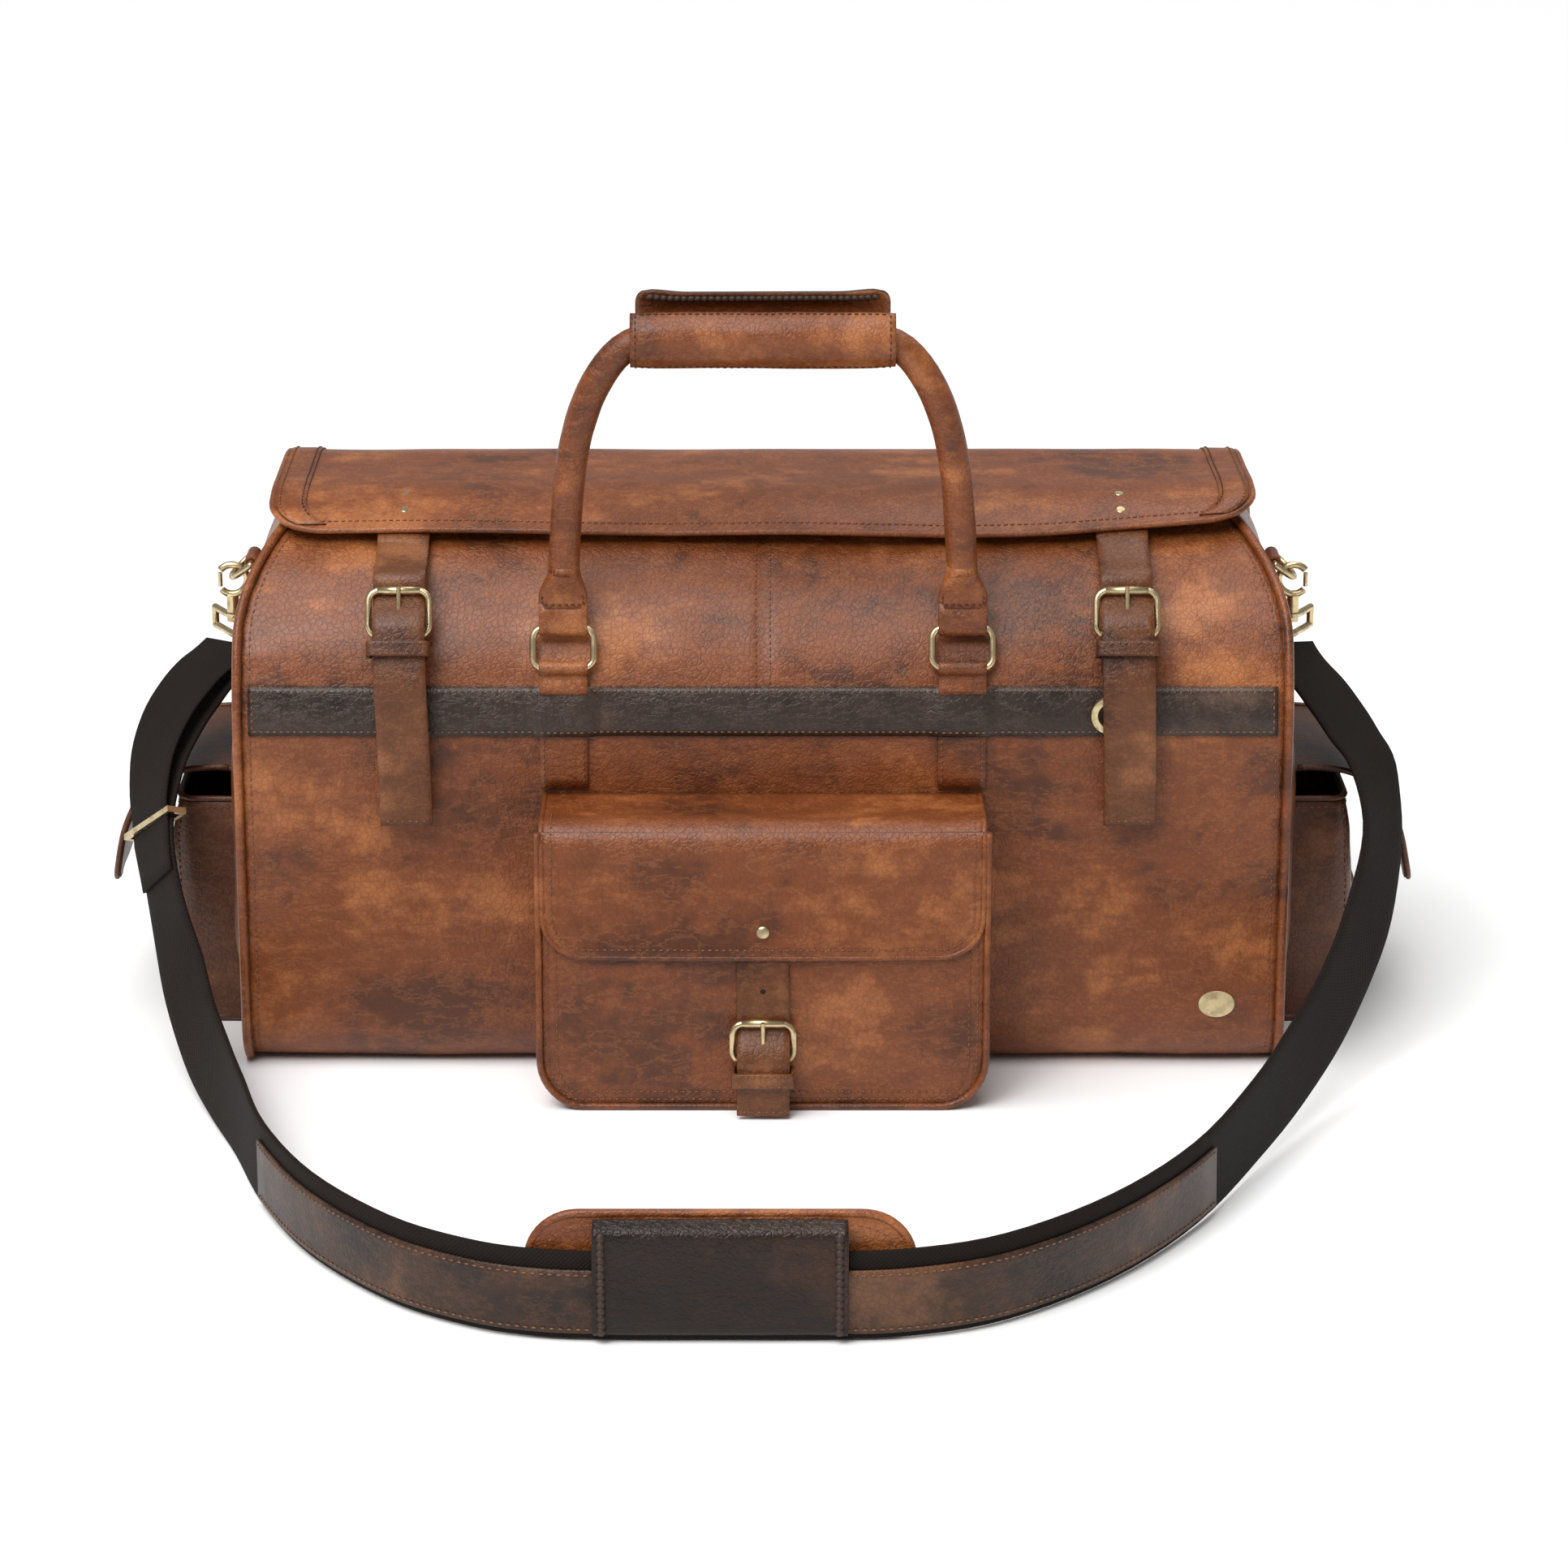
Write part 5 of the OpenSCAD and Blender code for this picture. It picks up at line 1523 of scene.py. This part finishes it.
@dataclass
class EndPocket:
    """Deep pocket on one end, with its open leaf and buckle."""

    end: int
    depth: float = 291.0
    half: float = 58.0

    @property
    def name(self) -> str:
        """Which end it is on."""
        return "left" if self.end < 0 else "right"

    def wall(self, k: float, z: float) -> Vector:
        """Point of the pocket's outer wall.

        Args:
            k: Distance round the wall from its front seam.
            z: Height.

        Returns:
            The point, in mm.
        """
        corner, start = 9.0, 252.0
        out = self.depth - start - corner
        arc = corner * math.pi / 2
        across = 2 * (self.half - corner)
        total = 2 * out + 2 * arc + across
        j, flip = (k, -1) if k <= total / 2 else (total - k, 1)
        if j < out:
            x, y = start + j, self.half
        elif j < out + arc:
            turn = (j - out) / corner
            x, y = self.depth - corner + corner * math.sin(turn), self.half - corner + corner * math.cos(turn)
        else:
            x, y = self.depth, self.half - corner - (j - out - arc)
        belly = math.sin(math.pi * min(max((z - 1) / 122, 0), 1)) ** 0.8
        push = ease(j, 6, out + arc)
        x += (3.0 * belly * push * (1 - (y / self.half) ** 4) + 1.2 * rough(self.end * 31, k * 0.02, z * 0.03) * push)
        x -= 3.5 * ease(z, 96, 120) * push
        y += 1.6 * belly * (1 - push) + 1.0 * rough(self.end * 33, k * 0.03, z * 0.03) * (j < out)
        return Vector((self.end * x, flip * y, z))

    @property
    def run(self) -> float:
        """Distance round the wall."""
        return 2 * (self.depth - 252.0 - 9.0) + 9.0 * math.pi + 2 * (self.half - 9.0)

    def build(self) -> None:
        """Build the pocket, its leaf and its buckle."""
        # The end pocket pieces take the darker leather copy, whose extra darkness is painted shade.
        piece = Piece(f"end_pocket_{self.name}_skin", Finish.POCKET, Finish.EDGE, Finish.THREAD)
        ks = spread(0, self.run, 72)
        piece.sheet(self.wall, ks, spread(1.6, 116.5, 26))
        rim = [self.wall(k, 1.7) for k in ks]
        piece.sheet(lambda a, b: rim[round(a)].lerp(Vector((self.end * 252, rim[round(a)].y, 1.7)), b / 30),
                    list(range(len(rim))), spread(0, 30, 6))
        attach(piece.finish(1.8, 1, outward=self.end < 0, replaces=[f"end_pocket_{self.name}"]), "bag")
        trim = Piece(f"end_pocket_{self.name}_trim", Finish.POCKET, Finish.THREAD)
        trim.rod([self.wall(k, 117.0) for k in ks], 1.4, (0, 0, 1), 8)
        out = lambda p: Vector((p.x - self.end * 262, p.y * 0.9, 0)).normalized()
        trim.stitches([self.wall(k, 112.5) + out(self.wall(k, 112.5)) * 0.1 for k in ks], out, 3.4, 1)
        for share in (0.20, 0.80):
            k = self.run * share
            trim.stitches([self.wall(k, z) + out(self.wall(k, z)) * 0.1 for z in spread(4, 112, 30)], out, 3.4, 1)
        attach(trim.finish(), "bag")
        self.leaf()
        self.buckle()

    def leaf(self) -> None:
        """Stiff leaf that stands open over the pocket."""
        line = smooth([(258.0, 131.0), (272, 132.2), (290, 130.0), (305.5, 121.0), (315.5, 102.0), (320.0, 83.0),
                       (322.0, 73.0)], 6)

        def place(y: float, k: float) -> Vector:
            """Point of the leaf, with rounded lower corners."""
            i = k / 100 * (len(line) - 1)
            spot = Vector(line[int(i)]).lerp(Vector(line[min(int(i) + 1, len(line) - 1)]), i - int(i))
            half = 53.6 - 15 * (1 - math.sqrt(max(1 - max((k - 80) / 20, 0) ** 2, 0)))
            wave = 1.3 * rough(self.end * 41, y * 0.03, k * 0.02) * (k / 100)
            return Vector((self.end * (spot.x + wave), y / 55 * half, spot.y - 2.0 * (y / 55) ** 2 * (k / 100)))

        # The leaf takes the darker leather copy too: its extra darkness is painted shade.
        piece = Piece(f"end_leaf_{self.name}", Finish.POCKET, Finish.EDGE, Finish.THREAD)
        piece.sheet(place, spread(-55, 55, 40), spread(0, 100, 36))
        leaf = piece.finish(2.0, 1, outward=self.end > 0, replaces=[f"end_flap_{self.name}"])
        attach(leaf, f"end_flap_{self.name}")
        rim = [place(-55, k) for k in spread(8, 80, 24)] + [place(-55, k) for k in spread(80, 100, 8)]
        rim += [place(y, 100) for y in spread(-55, 55, 24)][1:-1]
        rim += [place(55, k) for k in spread(100, 8, 30)]
        binding = Piece(f"end_leaf_{self.name}_binding", Finish.POCKET)
        binding.rod(resample(rim, 3.5), 1.4, (0.3, 0.3, 0.9), 8)
        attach(binding.finish(), f"end_flap_{self.name}")

    def buckle(self) -> None:
        """Buckle held by its chape on the pocket's outer wall."""
        x = self.depth + 6.5
        piece = Piece(f"end_buckle_{self.name}", Finish.BRASS, Finish.STRAP)
        loop = [Vector((self.end * x, a, b + 45.0)) for a, b in ring_path(22, 15, 4, 4)]
        piece.rod(loop, 1.5, (1, 0, 0), 10, closed=True)
        roll = 2.6
        fold = [(x + roll * math.cos(a), 45.0 + roll * math.sin(a)) for a in spread(-0.4, math.pi + 0.3, 9)]
        path = [(x + 1.4, 20.0), (x + 2.0, 34.0)] + fold + [(x - 2.0, 36.0), (x - 2.4, 20.0)]
        piece.strip([Vector((self.end * a, 0, b)) for a, b in path], [Vector((0, 1, 0))] * len(path),
                    strap_outline(18, 1.8), material=1)
        made = piece.finish()
        if self.end < 0:
            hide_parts("end_buckles")
        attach(made, "bag")


# ---------------------------------------------------------------- shoulder strap

@dataclass
class ShoulderStrap:
    """Webbing strap with its leather overlay, pad and brass ends."""

    width: float = 40.0
    thick: float = 2.4
    route: list[tuple[float, float, float]] = field(default_factory=lambda: [
        (-264, 0, 180), (-270, -8, 171), (-280, -26, 161), (-289, -47, 149), (-295, -66, 134), (-297, -84, 112),
        (-291, -104, 82), (-281, -128, 52), (-270, -158, 31), (-257, -196, 23), (-243, -240, 21),
        (-226, -300, 21), (-199, -360, 21), (-161, -410, 21), (-126, -436, 21), (-96, -447, 21),
        (-60, -450, 21), (-18, -450, 21), (24, -450, 21), (62, -447, 21), (104, -430, 21),
        (152, -386, 21), (194, -326, 22), (228, -256, 26), (252, -204, 34), (274, -160, 50),
        (293, -120, 78), (302, -90, 108), (299, -67, 135), (290, -48, 149), (280, -26, 161), (270, -8, 171),
        (264, 0, 180)])
    across: list[tuple[float, float, float]] = field(default_factory=lambda: [
        (5, -9, 0), (5, -9, 0), (5, -9, 0), (5, -9, 0), (5, -9, 0), (5, -9, 0),
        (5, -9, 1), (6, -8, 3), (5, -6, 7), (3, -3, 9), (1, -1, 10),
        (0, 0, 10), (0, 0, 10), (0, 0, 10), (0, 0, 10), (0, 0, 10),
        (0, 0, 10), (0, 0, 10), (0, 0, 10), (0, 0, 10), (0, 0, 10),
        (0, 0, 10), (0, 0, 10), (-1, -1, 10), (-3, -3, 9), (-5, -6, 7),
        (-6, -8, 3), (-5, -9, 1), (-5, -9, 0), (-5, -9, 0), (-5, -9, 0), (-5, -9, 0), (-5, -9, 0)])
    steps: int = 5

    def build(self) -> None:
        path = smooth(self.route, self.steps)
        sides = [v.normalized() for v in smooth(self.across, self.steps)]
        web = Piece("webbing_strap", Finish.WEBBING)
        web.strip(path, sides, strap_outline(self.width, self.thick))
        webbing = web.finish(replaces=["webbing"])
        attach(webbing, "bag")
        parts = [self.overlay(path, sides), self.fold(path, sides)] + self.pad()
        for node in ("strap_loops", "strap_slider"):
            dress(node, Finish.BRASS)
        length = sum((b - a).length for a, b in zip(path, path[1:])) * MM
        tuple(v * MM for v in self.route[0])
        [tuple(p * MM) for p in path]
        log.info("webbing length %.4f m", length)

    def fold(self, path: Sequence[Vector], sides: Sequence[Vector]) -> bpy.types.Object:
        """Webbing folded back from the left loop to the slider.

        Args:
            path: Middle line of the webbing.
            sides: Direction of its width.

        Returns:
            The folded layer.
        """
        line = []
        for i in range(1, self.steps * 6):
            run = (path[i + 1] - path[i - 1]).normalized()
            out = sides[i].cross(run).normalized()
            out = out if out.x < 0 else -out
            loose = math.sin(math.pi * min(i / (self.steps * 5), 1.0)) * 7.0
            line.append(path[i] + out * (2.2 + loose))
        piece = Piece("webbing_fold", Finish.WEBBING)
        piece.strip(line, list(sides[1:self.steps * 6]), strap_outline(self.width, 1.6))
        made = piece.finish()
        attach(made, "bag")
        return made

    def overlay(self, path: Sequence[Vector], sides: Sequence[Vector]) -> bpy.types.Object:
        """Leather sewn on the outer face of the webbing.

        Args:
            path: Middle line of the webbing.
            sides: Direction of its width.

        Returns:
            The overlay.
        """
        first = min(range(len(path)), key=lambda i: (path[i] - Vector((-226, -300, 21))).length)
        last = min(range(len(path)), key=lambda i: (path[i] - Vector((205, -306, 23))).length)
        line, lean, lift = [], [], self.thick / 2 + 0.9
        for i in range(first, last + 1):
            run = (path[i + 1] - path[i - 1]).normalized()
            side = (sides[i] - run * run.dot(sides[i])).normalized()
            out = side.cross(run)
            out = out if out.y < 0 else -out
            line.append(path[i] + out * lift - side * 2.6)
            lean.append(side)
        # The overlay's dark leather colour carries painted shade.
        piece = Piece("strap_overlay", Finish.OVERLAY, Finish.EDGE, Finish.THREAD)
        piece.strip(line, lean, strap_outline(29, 1.6))
        for offset in (-12.4, 12.4):
            row = []
            for i, (p, side) in enumerate(zip(line, lean)):
                run = (line[min(i + 1, len(line) - 1)] - line[max(i - 1, 0)]).normalized()
                out = side.cross(run)
                out = out if out.y < 0 else -out
                row.append(p + side * offset + out * 0.9)
            piece.stitches(row, lambda p: Vector((p.x * 0.0006, -1, 0)).normalized(), 3.8, 2)
        made = piece.finish()
        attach(made, "bag")
        return made

    def pad(self) -> list[bpy.types.Object]:
        """Shoulder pad and its wrapped cover.

        Returns:
            The pad's pieces.
        """
        middle, height, low = -18.0, 54.0, 0.3

        def outline(x: float, half: float, corner: float) -> float:
            """Half height of a plate with rounded ends at a place along it."""
            into = max(abs(x) - (half - corner), 0.0)
            return height / 2 - corner + math.sqrt(max(corner**2 - into**2, 0.0))

        pad = Piece("pad_leather", Finish.TAN, Finish.THREAD)
        for face, y in ((-1, -443.5), (1, -437.5)):
            def place(x: float, v: float, face: int = face, y: float = y) -> Vector:
                """Point of one face of the pad, puffed out between its edges."""
                tall = outline(x, 81.5, 21.0)
                puff = 1.9 * (1 - (x / 81.5) ** 4) * (1 - (v / 27) ** 4)
                return Vector((middle + x, y + face * (puff - 1.4) + 0.6 * rough(51, x * 0.04, v * 0.04),
                               low + height / 2 + v / 27 * tall))
            rows = [27 * math.sin(a) for a in spread(-math.pi / 2, math.pi / 2, 20)]
            pad.sheet(place, [81.5 * math.sin(a) for a in spread(-math.pi / 2, math.pi / 2, 60)], rows)
        edge = []
        for x in [81.5 * math.sin(a) for a in spread(-math.pi / 2, math.pi / 2, 60)]:
            edge.append(Vector((middle + x, -440.5, low + height / 2 + outline(x, 81.5, 21.0))))
        edge += [Vector((p.x, p.y, low + height / 2 - (p.z - low - height / 2))) for p in reversed(edge[1:-1])]
        pad.rod(resample(edge + [edge[0]], 3.0)[:-1], 2.2, (0, 1, 0), 8, closed=True)
        inner = [Vector((middle + (p.x - middle) * 0.94, -444.6, low + height / 2 + (p.z - low - height / 2) * 0.86))
                 for p in edge]
        pad.stitches(inner + [inner[0]], (0, -1, 0), 3.6, 1)
        made = pad.finish(replaces=["shoulder_pad"])
        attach(made, "bag")
        cover = Piece("pad_wrap", Finish.PAD, Finish.EDGE, Finish.DARK_THREAD)

        def wrap(x: float, v: float) -> Vector:
            """Point of the cover wrapped round the pad and the webbing."""
            turn = v / 27
            bow = -453.2 - 1.6 * (1 - turn**4) + 0.7 * rough(53, x * 0.03, v * 0.05)
            over = 6.5 * max(abs(turn) - 0.86, 0) / 0.14
            ends = 0.9 * math.exp(-(((abs(x) - 54) / 3.0) ** 2))
            return Vector((middle + x, bow + over - ends, low + 27.2 + 26.9 * turn))

        cover.sheet(wrap, spread(-54, 54, 50), [27 * math.sin(a) for a in spread(-math.pi / 2, math.pi / 2, 26)])
        cover.stitches([wrap(-50.5, v) + Vector((0, -0.2, 0)) for v in spread(-23, 23, 16)], (0, -1, 0), 3.3, 2)
        cover.stitches([wrap(50.5, v) + Vector((0, -0.2, 0)) for v in spread(-23, 23, 16)], (0, -1, 0), 3.3, 2)
        wrapped = cover.finish(1.6, 1, replaces=["pad_cover"])
        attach(wrapped, "bag")
        return [made, wrapped]


# ---------------------------------------------------------------- the scene

@dataclass
class Studio:
    """Pale floor, soft light and the camera."""

    elevation: float = 17.5
    distance: float = 2.5
    aim: float = 0.106

    def build(self) -> None:
        """Build the floor, the lights and the camera."""
        self.floor()
        self.camera()
        scene = bpy.context.scene
        scene.view_settings.view_transform = "Standard"
        scene.view_settings.look = "None"
        world = bpy.data.worlds.new("studio")
        world.use_nodes = True
        world.node_tree.nodes["Background"].inputs["Color"].default_value = rgb(1, 1, 1)
        world.node_tree.nodes["Background"].inputs["Strength"].default_value = 0.3
        scene.world = world
        self.light("key", (-0.6, -1.3, 1.5), (0, 0, 0.12), 0.7, 9.0)
        self.light("rim", (0.5, 0.6, 1.6), (0, 0, 0.1), 1.0, 6.0)
        self.sun((-0.35, -0.45, 1.0), 2.85)

    def floor(self) -> None:
        """Build the floor."""
        bm = bmesh.new()
        bmesh.ops.create_grid(bm, x_segments=1, y_segments=1, size=30.0)
        mesh = bpy.data.meshes.new("floor")
        bm.to_mesh(mesh)
        bm.free()
        made = bpy.data.objects.new("floor", mesh)
        g = Graph("floor")
        mesh.materials.append(g.finish(Base_Color=rgb(0.93, 0.93, 0.93), Roughness=0.9))
        bpy.context.collection.objects.link(made)

    def light(self, name: str, place: Point, aim: Point, size: float, power: float) -> None:
        """Add a soft area light.

        Args:
            name: Its name.
            place: Where it stands, in metres.
            aim: What it points at.
            size: Its width.
            power: Its power in watts.
        """
        data = bpy.data.lights.new(name, "AREA")
        data.size, data.energy, data.shape = size, power, "DISK"
        made = bpy.data.objects.new(name, data)
        made.location = place
        made.rotation_euler = (Vector(aim) - Vector(place)).to_track_quat("-Z", "Y").to_euler()
        bpy.context.collection.objects.link(made)

    def sun(self, place: Point, strength: float) -> None:
        """Add an even, very soft light over the whole floor.

        Args:
            place: The direction it comes from.
            strength: Its strength in watts for each square metre.
        """
        data = bpy.data.lights.new("sky", "SUN")
        data.energy, data.angle = strength, math.radians(55)
        made = bpy.data.objects.new("sky", data)
        made.rotation_euler = (-Vector(place)).to_track_quat("-Z", "Y").to_euler()
        bpy.context.collection.objects.link(made)

    def camera(self) -> None:
        """Build the camera at the object's viewing angle."""
        turn = math.radians(self.elevation)
        data = bpy.data.cameras.new("camera")
        data.lens, data.sensor_width = 113.66, 36.0
        data.shift_x = 0.01346
        data.dof.use_dof = False
        data.clip_end = 50
        made = bpy.data.objects.new("camera", data)
        made.location = (0, -self.distance * math.cos(turn), self.aim + self.distance * math.sin(turn))
        made.rotation_euler = (math.pi / 2 - turn, 0, 0)
        bpy.context.collection.objects.link(made)
        bpy.context.scene.camera = made


def main() -> None:
    """Build the studio and every sub-assembly in order."""
    logging.basicConfig(level=logging.INFO, format="%(name)s: %(message)s")
    random.seed(7)
    Studio().build()
    ShoulderStrap().build()
    log.info("shoulder strap built")
    Shell().build()
    TopFlap().build()
    log.info("body and top flap built")
    for name, x, skew in (("left", -STRAP_X, 3.0), ("right", STRAP_X, 2.0)):
        FlapStrap(name, x, skew).build()
    Handle("front", -115.29, 220.07, 1).build()
    Handle("rear", 135.7, 189.8, -1).build()
    FrontPocket().build()
    for end in (-1, 1):
        EndPocket(end).build()
    for node in ("anchor_rings", "zip_slider", "zip_pull", "badge", "dring_left", "dring_right", "hook_left",
                 "hook_right", "gate_left", "gate_right"):
        dress(node, Finish.BRASS)
    log.info("straps, handles and pockets built")


if __name__ == "__main__":
    main()
